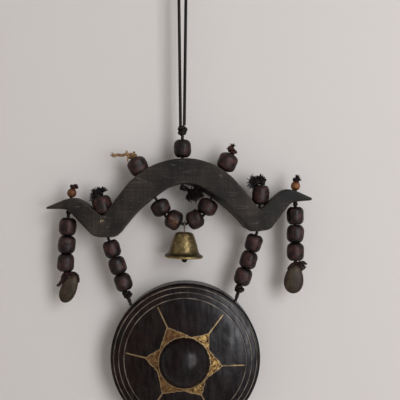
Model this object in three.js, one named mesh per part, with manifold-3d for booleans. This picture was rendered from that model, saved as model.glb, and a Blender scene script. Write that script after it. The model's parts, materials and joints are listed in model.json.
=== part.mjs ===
// A small bossed gong on a carved wooden yoke, strung with wooden beads on waxed cotton cord.
//
// Millimetres, +Z up, the front of the gong faces -Y. The origin is where the nail or hook
// bears inside the hanging loop. Every cord lies in the plane y = 0, which is the middle of
// the yoke's thickness, and the gong's rim holes are in that plane too, so it hangs plumb.
import * as THREE from "three";
import { mergeVertices } from "three/addons/utils/BufferGeometryUtils.js";
import Module from "manifold-3d";

const wasm = await Module();
wasm.setup();

// Clearances
const SEAT = 0.3; // between pieces that rest on each other
const BORE_CLEARANCE = 0.4; // all round a cord in its hole

// The yoke and the gong hang this far off level, right side up
const HANG_TILT = 2.3;

// Waxed cord
const CORD_R = 1.5;
const CORD_SIDES = 8;
const HOLE_R = CORD_R + BORE_CLEARANCE;

// Hanging loop of doubled cord: strand centres are this far either side of the middle
const HANGER_R = 1.6;
const HANGER_DROP = 141.4; // from the nail to the lower ends of the strands
const HANGER_TOP_SPREAD = 3.65;
const HANGER_FOOT_SPREAD = 1.9;
const HANGER_KNOT_HEIGHT = 9.6;
const HANGER_KNOT_R = 4.9;
const NECK_LENGTH = 4.2; // cord that shows between the big knot and the crown bead

// Turned wooden beads, barrel shaped with flat ends
const BEAD_R = 8.5;
const BEAD_GAP = 0.4;
const CROWN_BEAD_LENGTH = 17.6;
const LEFT_NOTCH_BEAD = { radius: 9.7, length: 19.2 }; // turned by eye, no two alike
const RIGHT_NOTCH_BEAD = { radius: 8.7, length: 19.8 };
const SHOULDER_BEAD_LENGTH = 18.2;
const SHOULDER_BEAD_R = 9.7;
const GONG_BEAD_LENGTH = 17.2;
const BELL_BEAD_LENGTH = 15.4;
const BELL_BEAD_R = 9.5;
const PENDANT_BEAD_LENGTH = 17.6;
const TIP_BEAD_R = 4.6;
const TIP_BEAD_LENGTH = 8;
const END_SHARE = 0.7; // a bead's flat ends against its full width
const ROUND_END_SHARE = 0.44; // the same on the rounder beads of the bell's string
const BEAD_SIDES = 12;

// Carved yoke, drawn from its crown (0, 0) outwards and down to the right
const YOKE_THICKNESS = 19;
const CROWN_DEPTH = 25.4; // from the top of the crown to the arch below it
const CROWN_ARC_R = 73;
const ARC_END = 59; // where the crown's arc runs into the straight shoulder
const VALLEY = { u: 77.9, w: -53.6 }; // the notch above each gong string
const WING_TIP = { u: 132.2, w: -44.3 };
const TIP_BLUNT = 0.9; // half the height of the wing's blunt end
const RIGHT_TIP_DROOP = 2; // the right wing's tip was left thicker and lower
const LEFT_STRETCH = 1.034; // carved by eye: the left half came out longer
const RIGHT_STRETCH = 0.96;
const ARCH_SLANT = 2.3; // the right arm's inner face is cut this far off square, each way

// Cord holes through the yoke, each in its middle plane
const NOTCH_HOLE_LEAN = 8; // degrees inwards, going down
const LEFT_NOTCH_RISE = 0.6; // a bead's foot above the valley, in a seat drilled into both flanks
const RIGHT_NOTCH_RISE = 4.2;
const LEFT_SHOULDER_SINK = 2.2; // a shoulder bead's foot below the slope, in a seat of its own
const RIGHT_SHOULDER_SINK = 0;
const SHOULDER_HOLE = { u: 41.3, lean: 26.5 };
const LEFT_TIP_HOLE = { inset: 21.8, lean: -12 }; // inset from the wing's tip
const RIGHT_TIP_HOLE = { inset: 15.7, lean: -3 };

// Gong of beaten brass
const GONG_R = 74.6;
const GONG_WALL = 1.6;
const GONG_DEPTH = 30;
const GONG_TAPER = 0.4; // the rim is this much narrower at the back
const GONG_CENTRE = { x: 3, z: -373.3 };
const GONG_SETBACK = 6; // the rim holes' plane, behind the front shoulder
const GONG_HOLE_ANGLE = 43.5; // either side of the top
const FACE_RISE = 8; // from the shoulder up to the foot of the boss
const BOSS_R = 25;
const BOSS_HEIGHT = 15;
const SHOULDER_ROUND = 3;
const GONG_SIDES = 48;

// Brass bell, its wire eye and its clapper
const BELL_TOP_Z = -247.9;
const BELL_HEIGHT = 25.8;
const BELL_WALL = 1.5;
const BELL_HEAD_R = 10.1;
const BELL_WAIST_R = 16;
const BELL_LIP_R = 19.3;
const BELL_LEAN = 2; // the lip hangs this far to the left
const BELL_SIDES = 28;
const WIRE_R = 0.7;
const CLAPPER_R = 2.9;
const CLAPPER_DROP = 21.2; // from its hinge to the middle of its ball

// The bell's string: two beads a side, bent between them
const BELL_LOWER_LEAN = 64;

// Wing pendants
const PENDANT_BEADS = 3;
const GONG_BEADS = 3;
const LEFT_PENDANT_LEAN = -3; // degrees to the right, going down
const RIGHT_PENDANT_LEAN = 0.2;
const SWIVEL_R = 1.9;
const LEFT_CORD_SHOWN = 3.2; // bare cord from the swivel knot down to the first bead
const RIGHT_CORD_SHOWN = 0.8;
const WING_CLEARANCE = 2; // between the first bead's inner side and the wing
const DROP = { halfHeight: 15, halfThickness: 4.2, egg: 0.16 };
const LEFT_DROP_HALF_WIDTH = 8; // carved by eye, one slimmer than the other
const RIGHT_DROP_HALF_WIDTH = 9.5;
const DROP_HOLE_BELOW_TOP = 5.6;
const LEFT_DROP_LEAN = 24; // degrees, top to the right
const RIGHT_DROP_LEAN = 6;
const LEFT_TIE = { u: -9.6, w: 2.9 }; // where the string ends, from the drop's hole
const RIGHT_TIE = { u: -0.2, w: 7.9 };

// Lengths of the frayed cord ends
const CROWN_TUFT = 16;
const NOTCH_TUFT = 8.5;
const SHOULDER_TUFT = 7.5;
const TIP_TUFT = 5.5;
const TIE_TUFT = 8;

const rad = THREE.MathUtils.degToRad;

// Finishes
const finish = (color, roughness, metalness) =>
  new THREE.MeshStandardMaterial({ color, roughness, metalness });
const YOKE_PAINT = finish(0x35312e, 0.75, 0);
const BEAD_WOOD = finish(0x3b2c2b, 0.5, 0);
const TIP_BEAD_WOOD = finish(0x8a5a35, 0.5, 0);
const BLACK_CORD = finish(0x17120f, 0.8, 0);
const TAN_CORD = finish(0x8c6a42, 0.8, 0);
const DROP_WOOD = finish(0x51463a, 0.6, 0);
const BLACKENED_BRASS = finish(0x231d1c, 0.4, 0.6);
const OLD_BRASS = finish(0x7d6a42, 0.4, 0.9);
const STEEL_WIRE = finish(0x4a3b33, 0.5, 0.8);

// A closed geometry as a solid that can be joined and cut
function solid(geometry) {
  const bare = geometry.index ? geometry.toNonIndexed() : geometry.clone();
  bare.deleteAttribute("normal");
  bare.deleteAttribute("uv");
  const merged = mergeVertices(bare, 1e-4);
  return new wasm.Manifold(
    new wasm.Mesh({
      numProp: 3,
      vertProperties: merged.attributes.position.array,
      triVerts: new Uint32Array(merged.index.array),
    }),
  );
}

function geometryOf(body) {
  const mesh = body.getMesh();
  const geometry = new THREE.BufferGeometry();
  geometry.setAttribute("position", new THREE.BufferAttribute(mesh.vertProperties, 3));
  geometry.setIndex(new THREE.BufferAttribute(mesh.triVerts, 1));
  geometry.computeVertexNormals();
  return geometry;
}

const join = (...geometries) =>
  geometryOf(geometries.map(solid).reduce((whole, piece) => whole.add(piece)));
const cut = (geometry, ...holes) =>
  geometryOf(holes.map(solid).reduce((whole, hole) => whole.subtract(hole), solid(geometry)));

// A shape turned about Z from its (radius, height) profile, given anticlockwise
function turned(profile, sides) {
  const points = profile.map(([r, z]) => new THREE.Vector2(r, z));
  points.push(points[0].clone());
  return new THREE.LatheGeometry(points, sides).rotateX(Math.PI / 2);
}

// A straight round bar along Z, from one height down to another
function bar(radius, top, foot, sides = CORD_SIDES) {
  const length = top - foot;
  return new THREE.CylinderGeometry(radius, radius, length, sides)
    .rotateX(Math.PI / 2)
    .translate(0, 0, (top + foot) / 2);
}

// Two strands side by side, one behind the other, from one height down to another
const doubled = (top, foot) =>
  join(
    bar(HANGER_R, top, foot).translate(0, -HANGER_R + 0.1, 0),
    bar(HANGER_R, top, foot).translate(0, HANGER_R - 0.1, 0),
  );

const ball = (radius, x = 0, z = 0) =>
  new THREE.SphereGeometry(radius, CORD_SIDES, 6).rotateX(Math.PI / 2).translate(x, 0, z);

// A cord's route, with one ring of its tube at each chosen point
class Route extends THREE.CatmullRomCurve3 {
  getPointAt(t, target) {
    return this.getPoint(t, target);
  }
  getTangentAt(t, target) {
    return this.getTangent(t, target);
  }
}

// A round tube through points in the plane y = 0, or in space if a third number is given
function tube(points, radius, sides = CORD_SIDES) {
  const route = new Route(points.map(([x, z, y = 0]) => new THREE.Vector3(x, y, z)));
  const section = new THREE.Shape(
    Array.from({ length: sides }, (_, i) => {
      const turn = (2 * Math.PI * i) / sides;
      return new THREE.Vector2(radius * Math.cos(turn), radius * Math.sin(turn));
    }),
  );
  return new THREE.ExtrudeGeometry(section, {
    steps: points.length - 1,
    extrudePath: route,
    bevelEnabled: false,
  });
}

// An overhand knot pulled tight, about z = 0: a lump with two ridges of cord that slant round it
const KNOT_HALF_HEIGHT = 2.3; // in cord radii, with the slant
const KNOT_SLANT = 0.3;
function knot(cordR) {
  const lump = new THREE.LatheGeometry(
    [
      [0, -1.75],
      [1.25, -1.65],
      [1.95, -1],
      [1.5, 0],
      [2, 0.95],
      [1.3, 1.65],
      [0, 1.75],
    ].map(([r, z]) => new THREE.Vector2(r * cordR, z * cordR)),
    10,
  ).rotateX(Math.PI / 2);
  const place = lump.attributes.position;
  for (let i = 0; i < place.count; i++) {
    const slant = KNOT_SLANT * place.getX(i);
    place.setZ(i, place.getZ(i) + slant);
    place.setX(i, place.getX(i) + 0.1 * place.getZ(i));
  }
  return lump;
}

// Frayed cord ends: tapered tufts that fan out from the origin about a direction in y = 0
function fray(strands, length, spread, lean) {
  const tufts = Array.from({ length: strands }, (_, i) => {
    const round = (2 * Math.PI * i) / strands + 0.4;
    const reach = length * (0.8 + 0.2 * Math.cos(3 * i));
    return new THREE.ConeGeometry(0.9 * CORD_R, reach, 5)
      .translate(0, reach / 2, 0)
      .rotateX(Math.PI / 2)
      .rotateX(rad(spread * Math.sin(round)))
      .rotateY(rad(lean + spread * Math.cos(round)));
  });
  return join(...tufts);
}

// A bead's side, from its lower end to its upper, as [radius, height above its middle]
function beadSide(length, radius, endShare = END_SHARE) {
  const h = length / 2;
  return [
    [endShare * radius, -h],
    [0.92 * radius, -0.74 * h],
    [radius, -0.28 * h],
    [radius, 0.28 * h],
    [0.92 * radius, 0.74 * h],
    [endShare * radius, h],
  ];
}

// A wooden bead, bored for its cord, its middle at the origin and its hole along Z
function bead(length, boreR = HOLE_R, radius = BEAD_R, endShare = END_SHARE) {
  const h = length / 2;
  return turned([[boreR, -h], ...beadSide(length, radius, endShare), [boreR, h]], BEAD_SIDES);
}
const roundBead = (length, boreR, radius) => bead(length, boreR, radius, ROUND_END_SHARE);

function piece(name, geometry, material) {
  const mesh = new THREE.Mesh(geometry, material);
  mesh.name = name;
  return mesh;
}

// A group at a point of the cord plane, turned so that its -Z runs down a string that leans
function hang(parent, x, z, lean = 0) {
  const group = new THREE.Group();
  group.position.set(x, 0, z);
  group.rotation.y = -rad(lean);
  parent.add(group);
  group.updateWorldMatrix(true, false);
  return group;
}

const gongWork = new THREE.Group();

// Hanging loop: up one strand, over the nail and down the other
const LOOP_ARC_Z = HANGER_R - HANGER_TOP_SPREAD;
const LOOP_ARC_STEPS = 10;
const loopArc = Array.from({ length: LOOP_ARC_STEPS + 1 }, (_, i) => {
  const turn = Math.PI * (1 - i / LOOP_ARC_STEPS);
  return [
    HANGER_TOP_SPREAD * Math.cos(turn),
    LOOP_ARC_Z + HANGER_TOP_SPREAD * Math.sin(turn),
  ];
});
const STRAND_STEPS = 5;
const strand = Array.from({ length: STRAND_STEPS }, (_, i) => {
  const share = i / STRAND_STEPS;
  return [
    THREE.MathUtils.lerp(HANGER_FOOT_SPREAD, HANGER_TOP_SPREAD, share),
    THREE.MathUtils.lerp(-HANGER_DROP, LOOP_ARC_Z, share),
  ];
});
const hangerRoute = [
  ...strand.map(([x, z]) => [-x, z]),
  ...loopArc,
  ...strand.map(([x, z]) => [x, z]).reverse(),
];
gongWork.add(piece("hanger_cord", tube(hangerRoute, HANGER_R), BLACK_CORD));

// The big knot under the strands
const hangerKnotZ = -HANGER_DROP - SEAT - HANGER_KNOT_HEIGHT / 2;
const hangerKnot = knot(HANGER_R);
hangerKnot.computeBoundingBox();
const knotSpan = hangerKnot.boundingBox.getSize(new THREE.Vector3());
hangerKnot.scale(
  (2 * HANGER_KNOT_R) / knotSpan.x,
  (2 * HANGER_KNOT_R) / knotSpan.y,
  HANGER_KNOT_HEIGHT / knotSpan.z,
);
hang(gongWork, 0, hangerKnotZ).add(piece("hanger_knot", hangerKnot, BLACK_CORD));

// Neck of doubled cord, round topped where it pivots under the knot, through the crown bead
const NECK_HALF_DEPTH = 2 * HANGER_R - 0.1;
const neckPivotZ = hangerKnotZ - HANGER_KNOT_HEIGHT / 2 - SEAT - NECK_HALF_DEPTH;
const crownBeadZ =
  neckPivotZ + NECK_HALF_DEPTH - NECK_LENGTH - CROWN_BEAD_LENGTH / 2;
const neckFoot = crownBeadZ - CROWN_BEAD_LENGTH / 2 - neckPivotZ;
const neck = hang(gongWork, 0, neckPivotZ);
const neckTop = new THREE.CylinderGeometry(NECK_HALF_DEPTH, NECK_HALF_DEPTH, 2 * HANGER_R, 12)
  .rotateZ(Math.PI / 2);
neck.add(piece("crown_cord", join(neckTop, doubled(0, neckFoot)), BLACK_CORD));
const CROWN_BORE_R = NECK_HALF_DEPTH + BORE_CLEARANCE;
hang(gongWork, 0, crownBeadZ).add(
  piece("crown_bead", bead(CROWN_BEAD_LENGTH, CROWN_BORE_R), BEAD_WOOD),
);

// Half of the yoke's outline, from the crown's top round the wing to the arch below the crown
const arcDrop = (u) => Math.sqrt(CROWN_ARC_R ** 2 - u ** 2) - CROWN_ARC_R;
const spline = (steps, ...points) =>
  new THREE.SplineCurve(points.map(([u, w]) => new THREE.Vector2(u, w))).getPoints(steps);
const ARC_STEPS = 8;
const crownArc = Array.from({ length: ARC_STEPS + 1 }, (_, i) => {
  const u = (ARC_END * i) / ARC_STEPS;
  return new THREE.Vector2(u, arcDrop(u));
});
const valley = [
  [VALLEY.u - 2.2, VALLEY.w + 2.6],
  [VALLEY.u - 0.4, VALLEY.w + 0.3],
  [VALLEY.u + 1.4, VALLEY.w + 0.4],
];
// A point of the wing: its share of the way from valley to tip, and its rise above the valley
const wing = (share, rise) => [
  THREE.MathUtils.lerp(VALLEY.u, WING_TIP.u, share),
  VALLEY.w + rise,
];
const wingOutline = (droop) => [
  ...spline(
    9,
    [VALLEY.u + 3.2, VALLEY.w + 1.7],
    wing(0.287, 12.4),
    wing(0.433, 17.6),
    wing(0.543, 18.7),
    wing(0.7, 16.6),
    [WING_TIP.u, WING_TIP.w + TIP_BLUNT - 0.6 * droop],
  ),
  ...spline(
    8,
    [WING_TIP.u, WING_TIP.w - TIP_BLUNT - droop],
    wing(0.711, 7.7 - droop),
    wing(0.595, 4.9 - 0.3 * droop),
    wing(0.484, -2),
  ),
];
const BULGE_DEPTH = 22; // wood below the valley
const bulge = spline(
  8,
  [VALLEY.u + 12.1, VALLEY.w - BULGE_DEPTH + 3.5],
  [VALLEY.u + 7.1, VALLEY.w - BULGE_DEPTH + 0.8],
  [VALLEY.u - 1.9, VALLEY.w - BULGE_DEPTH],
  [VALLEY.u - 10.9, VALLEY.w - BULGE_DEPTH + 0.1],
);
// A point of the arch: its share of the way out to the valley, and the arm's extra depth there
const arch = (share, extra) => {
  const u = share * VALLEY.u;
  return [u, arcDrop(u) - CROWN_DEPTH - extra];
};
const archInside = spline(
  8,
  [VALLEY.u - 16.4, VALLEY.w - BULGE_DEPTH + 4.4],
  arch(0.648, 11.8),
  arch(0.488, 9.5),
  arch(0.308, 5.6),
  arch(0.154, 1.6),
  arch(0, 0),
);
const halfOutline = (droop) => [
  ...crownArc,
  ...valley.map(([u, w]) => new THREE.Vector2(u, w)),
  ...wingOutline(droop),
  ...bulge,
  ...archInside,
];
const stretched = (points, stretch) => points.map((p) => new THREE.Vector2(p.x * stretch, p.y));
const rightHalf = stretched(halfOutline(RIGHT_TIP_DROOP), RIGHT_STRETCH);
const leftHalf = stretched(halfOutline(0), -LEFT_STRETCH).slice(1, -1).reverse();
const yokeOutline = [...rightHalf, ...leftHalf];

// Where a line through (u, w) that leans to the right going down crosses the outline
function crossings(u, w, lean) {
  const along = new THREE.Vector2(Math.sin(rad(lean)), -Math.cos(rad(lean)));
  const across = new THREE.Vector2(along.y, -along.x);
  const found = [];
  yokeOutline.forEach((a, i) => {
    const b = yokeOutline[(i + 1) % yokeOutline.length];
    const from = a.clone().sub({ x: u, y: w });
    const to = b.clone().sub({ x: u, y: w });
    const [near, far] = [from.dot(across), to.dot(across)];
    if (near > 0 === far > 0) return;
    const share = near / (near - far);
    found.push(THREE.MathUtils.lerp(from.dot(along), to.dot(along), share));
  });
  found.sort((a, b) => a - b);
  return [found[0], found[found.length - 1]];
}

const crownZ = crownBeadZ - CROWN_BEAD_LENGTH / 2 - SEAT - 0.7;
const yokeGroup = hang(gongWork, 0, crownZ, HANG_TILT);

// One cord hole: its place and lean in the yoke, and how far down it the wood starts and ends
function hole(u, w, lean) {
  const [top, foot] = crossings(u, w, lean);
  const frame = hang(yokeGroup, u, w, lean);
  return { frame, lean, top: -top, foot: -foot };
}
const crownHole = hole(0, -CROWN_DEPTH / 2, 0);
const SIDES = [
  {
    side: "left",
    sign: -1,
    stretch: LEFT_STRETCH,
    notchBead: LEFT_NOTCH_BEAD,
    notchRise: LEFT_NOTCH_RISE,
    shoulderSink: LEFT_SHOULDER_SINK,
    notchFrayLean: -5,
    pendantLean: LEFT_PENDANT_LEAN,
    dropLean: LEFT_DROP_LEAN,
    dropHalfWidth: LEFT_DROP_HALF_WIDTH,
    tipHoleAt: LEFT_TIP_HOLE,
    tieAt: LEFT_TIE,
    cordShown: LEFT_CORD_SHOWN,
    endCord: TAN_CORD,
  },
  {
    side: "right",
    sign: 1,
    stretch: RIGHT_STRETCH,
    notchBead: RIGHT_NOTCH_BEAD,
    notchRise: RIGHT_NOTCH_RISE,
    shoulderSink: RIGHT_SHOULDER_SINK,
    notchFrayLean: -40,
    pendantLean: RIGHT_PENDANT_LEAN,
    dropLean: RIGHT_DROP_LEAN,
    dropHalfWidth: RIGHT_DROP_HALF_WIDTH,
    tipHoleAt: RIGHT_TIP_HOLE,
    tieAt: RIGHT_TIE,
    cordShown: RIGHT_CORD_SHOWN,
    endCord: BLACK_CORD,
  },
];
for (const s of SIDES) {
  s.notchHole = hole(s.sign * VALLEY.u * s.stretch, VALLEY.w, -s.sign * NOTCH_HOLE_LEAN);
  s.shoulderHole = hole(
    s.sign * SHOULDER_HOLE.u,
    arcDrop(SHOULDER_HOLE.u),
    -s.sign * SHOULDER_HOLE.lean,
  );
  s.tipHoleU = WING_TIP.u * s.stretch - s.tipHoleAt.inset;
  s.tipHole = hole(s.sign * s.tipHoleU, WING_TIP.w, s.tipHoleAt.lean);
}
const DRILL_OVERRUN = 6;
function drilling({ frame, top, foot }, radius) {
  const drill = bar(radius, top + DRILL_OVERRUN, foot - DRILL_OVERRUN, 12);
  frame.updateMatrix();
  return drill.applyMatrix4(frame.matrix);
}

// Drilled seats, which take the feet of the beads on the yoke with a little play
for (const s of SIDES) {
  s.notchBeadMid = s.notchRise + s.notchBead.length / 2;
  s.shoulderBeadMid = s.shoulderHole.top - s.shoulderSink + SHOULDER_BEAD_LENGTH / 2;
}
function notchSeat({ notchBead, notchBeadMid, notchHole }) {
  const seat = bead(notchBead.length + 2 * SEAT, CORD_R, notchBead.radius + SEAT);
  return seat.translate(0, 0, notchBeadMid).applyMatrix4(notchHole.frame.matrix);
}
function shoulderSeat({ shoulderBeadMid, shoulderHole }) {
  const seat = roundBead(SHOULDER_BEAD_LENGTH + 2 * SEAT, CORD_R, SHOULDER_BEAD_R + SEAT);
  return seat.translate(0, 0, shoulderBeadMid).applyMatrix4(shoulderHole.frame.matrix);
}

// The yoke: extruded outline, its right inner face sheared off square, with seven cord holes
const ARCH_FOOT_INSET = 11.9; // the slanted face ends this far short of the valley
function carvedYoke() {
  const blank = new THREE.ExtrudeGeometry(new THREE.Shape(yokeOutline), {
    depth: YOKE_THICKNESS,
    bevelEnabled: false,
  });
  blank.rotateX(Math.PI / 2).translate(0, YOKE_THICKNESS / 2, 0);
  const place = blank.attributes.position;
  const archEnd = (VALLEY.u - ARCH_FOOT_INSET) * RIGHT_STRETCH;
  for (let i = 0; i < place.count; i++) {
    const [u, y, w] = [place.getX(i), place.getY(i), place.getZ(i)];
    const underArch = w < arcDrop(Math.min(u, ARC_END)) - CROWN_DEPTH / 2;
    if (u <= 0 || u >= archEnd || !underArch) continue;
    const slant = ARCH_SLANT * Math.sin((Math.PI * u) / archEnd) ** 0.5 * Math.sign(y);
    place.setXYZ(i, u - 0.64 * slant, y, w - 0.77 * slant);
  }
  const holes = SIDES.flatMap((s) => [s.notchHole, s.shoulderHole, s.tipHole]);
  return cut(
    blank,
    drilling(crownHole, CROWN_BORE_R),
    ...holes.map((h) => drilling(h, HOLE_R)),
    ...SIDES.map(notchSeat),
    ...SIDES.map(shoulderSeat),
  );
}
yokeGroup.add(piece("yoke", carvedYoke(), YOKE_PAINT));

// The hanging cord's tail: through the crown to a stop knot with frayed ends below the arch
const tailTop = crownHole.top + 0.5;
const tailKnotZ = crownHole.foot - SEAT - KNOT_HALF_HEIGHT * HANGER_R - 1;
crownHole.frame.add(
  piece(
    "crown_tail",
    join(
      doubled(tailTop, tailKnotZ),
      knot(HANGER_R).translate(0, 0, tailKnotZ),
      fray(6, CROWN_TUFT, 30, 122).translate(1.5, 0, tailKnotZ),
    ),
    BLACK_CORD,
  ),
);

const PIVOT_BELOW = 1; // a string's pivot below the hole that it leaves
const CORD_RECESS = CORD_R - PIVOT_BELOW + SEAT; // the fixed cord's end, up inside that hole

for (const s of SIDES) {
  // Notch: a frayed knot over a bead that seats in the valley, its cord going on through the yoke
  const { notchBead, notchBeadMid, shoulderBeadMid } = s;
  const notchKnotMid = notchBeadMid + notchBead.length / 2 + SEAT + KNOT_HALF_HEIGHT * CORD_R;
  s.notchHole.frame.add(
    piece(
      `notch_cord_${s.side}`,
      join(
        bar(CORD_R, notchKnotMid, s.notchHole.foot + CORD_RECESS),
        knot(CORD_R).translate(0, 0, notchKnotMid),
        fray(6, NOTCH_TUFT, 52, s.notchFrayLean).translate(0, 0, notchKnotMid + 1),
      ),
      BLACK_CORD,
    ),
  );
  hang(s.notchHole.frame, 0, notchBeadMid).add(
    piece(`notch_bead_${s.side}`, bead(notchBead.length, HOLE_R, notchBead.radius), BEAD_WOOD),
  );

  // Shoulder: the bell string's end knot over its bead
  const shoulderKnotMid =
    shoulderBeadMid + SHOULDER_BEAD_LENGTH / 2 + SEAT + KNOT_HALF_HEIGHT * CORD_R;
  const tail =
    s.side === "left"
      ? tube(
          [[-1, 0], [-5, 3], [-10, 4.2], [-15, 6.4], [-19.5, 8.2]].map(([x, z]) => [
            x,
            z + shoulderKnotMid,
          ]),
          0.7 * CORD_R,
          6,
        )
      : fray(3, SHOULDER_TUFT, 30, -20).translate(0, 0, shoulderKnotMid + 1);
  s.shoulderHole.frame.add(
    piece(
      `shoulder_cord_${s.side}`,
      join(
        bar(CORD_R, shoulderKnotMid, s.shoulderHole.foot + CORD_RECESS),
        knot(CORD_R).translate(0, 0, shoulderKnotMid),
        tail,
      ),
      s.endCord,
    ),
  );
  const shoulderBead = roundBead(SHOULDER_BEAD_LENGTH, HOLE_R, SHOULDER_BEAD_R);
  hang(s.shoulderHole.frame, 0, shoulderBeadMid).add(
    piece(`shoulder_bead_${s.side}`, shoulderBead, BEAD_WOOD),
  );

  // Wing tip: a small pale bead under a knot
  const tipBeadMid = s.tipHole.top + 1.2 + TIP_BEAD_LENGTH / 2;
  const tipKnotMid = tipBeadMid + TIP_BEAD_LENGTH / 2 + SEAT + KNOT_HALF_HEIGHT * 0.75 * CORD_R;
  s.tipHole.frame.add(
    piece(
      `tip_cord_${s.side}`,
      join(
        bar(CORD_R, tipKnotMid, s.tipHole.foot + 0.2),
        knot(0.75 * CORD_R).translate(0, 0, tipKnotMid),
        fray(3, TIP_TUFT, 26, 34).translate(0, 0, tipKnotMid + 1),
      ),
      BLACK_CORD,
    ),
  );
  hang(s.tipHole.frame, 0, tipBeadMid).add(
    piece(`tip_bead_${s.side}`, bead(TIP_BEAD_LENGTH, HOLE_R, TIP_BEAD_R), TIP_BEAD_WOOD),
  );
}

// Gong: a beaten pan with a boss, its rim turned back, turned about Y and pierced for its cords
function beatenGong() {
  const shoulderY = -GONG_SETBACK;
  const bossFootY = shoulderY - FACE_RISE;
  const bossSphereR = (BOSS_R ** 2 + BOSS_HEIGHT ** 2) / (2 * BOSS_HEIGHT);
  const dome = (wall) => {
    const steps = 6;
    const half = Math.asin(BOSS_R / bossSphereR);
    return Array.from({ length: steps }, (_, i) => {
      const turn = (half * i) / (steps - 1);
      const r = bossSphereR - wall;
      return [
        r * Math.sin(turn),
        bossFootY - BOSS_HEIGHT + bossSphereR - r * Math.cos(turn),
      ];
    });
  };
  const crease = 61.3 / 73.7;
  const front = [
    ...dome(0),
    [BOSS_R + 1.6, bossFootY + 0.2],
    [0.6 * GONG_R, bossFootY + 0.28 * FACE_RISE],
    [crease * GONG_R, shoulderY - 0.32 * FACE_RISE],
    [0.93 * GONG_R, shoulderY - 0.1 * FACE_RISE],
    [GONG_R - SHOULDER_ROUND, shoulderY],
    [GONG_R - 0.3 * SHOULDER_ROUND, shoulderY + 0.3 * SHOULDER_ROUND],
    [GONG_R, shoulderY + SHOULDER_ROUND],
    [GONG_R - GONG_TAPER, shoulderY + GONG_DEPTH],
  ];
  const back = [
    ...dome(GONG_WALL),
    [BOSS_R + 1.4, bossFootY + 0.2 + GONG_WALL],
    [0.6 * GONG_R, bossFootY + 0.28 * FACE_RISE + GONG_WALL],
    [crease * GONG_R, shoulderY - 0.32 * FACE_RISE + GONG_WALL],
    [GONG_R - SHOULDER_ROUND - 0.2, shoulderY + GONG_WALL],
    [GONG_R - GONG_WALL, shoulderY + SHOULDER_ROUND + 0.6],
    [GONG_R - GONG_TAPER - GONG_WALL, shoulderY + GONG_DEPTH],
  ];
  const profile = [...front, ...back.reverse()].map(([r, y]) => new THREE.Vector2(r, y));
  const pan = new THREE.LatheGeometry(profile, GONG_SIDES);
  const holes = [-1, 1].map((sign) =>
    bar(HOLE_R, GONG_R + DRILL_OVERRUN, GONG_R - DRILL_OVERRUN, 12).rotateY(
      rad(sign * GONG_HOLE_ANGLE),
    ),
  );
  return cut(pan, ...holes);
}
const gongGroup = hang(gongWork, GONG_CENTRE.x, GONG_CENTRE.z, HANG_TILT);
gongGroup.add(piece("gong", beatenGong(), BLACKENED_BRASS));

// Each gong string: down from the yoke through three beads, knotted, and on to the rim
const RIM_PIVOT_R = GONG_R + 0.2 + SEAT + CORD_R;
const FIRST_BEAD_BELOW = 2.8; // the first bead's top below a string's pivot
for (const s of SIDES) {
  const top = s.notchHole.frame.localToWorld(
    new THREE.Vector3(0, 0, s.notchHole.foot - PIVOT_BELOW),
  );
  const rimFrame = hang(gongGroup, 0, 0, -s.sign * GONG_HOLE_ANGLE);
  const foot = rimFrame.localToWorld(new THREE.Vector3(0, 0, RIM_PIVOT_R));
  const run = foot.clone().sub(top);
  const lean = THREE.MathUtils.radToDeg(Math.atan2(run.x, -run.z));
  const stringFrame = hang(gongWork, top.x, top.z, lean);
  const pitch = GONG_BEAD_LENGTH + BEAD_GAP;
  const lastBeadFoot = -FIRST_BEAD_BELOW - GONG_BEADS * pitch + BEAD_GAP;
  const knotMid = lastBeadFoot - SEAT - KNOT_HALF_HEIGHT * CORD_R;
  const straight = join(
    ball(CORD_R),
    bar(CORD_R, 0, -run.length()),
    ball(CORD_R, 0, -run.length()),
    knot(CORD_R).translate(0, 0, knotMid),
  );
  stringFrame.add(piece(`gong_cord_${s.side}`, straight, BLACK_CORD));
  for (let i = 0; i < GONG_BEADS; i++) {
    const mid = -FIRST_BEAD_BELOW - GONG_BEAD_LENGTH / 2 - i * pitch;
    hang(stringFrame, 0, mid).add(
      piece(`gong_bead_${s.side}_${i + 1}`, bead(GONG_BEAD_LENGTH), BEAD_WOOD),
    );
  }
  // The cord's stub through the rim to a stop knot inside
  const insideR = GONG_R - GONG_WALL - SEAT - KNOT_HALF_HEIGHT * CORD_R - 1;
  rimFrame.add(
    piece(
      `rim_knot_${s.side}`,
      join(bar(CORD_R, GONG_R + 0.2, insideR), knot(CORD_R).translate(0, 0, insideR)),
      BLACK_CORD,
    ),
  );
}

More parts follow.
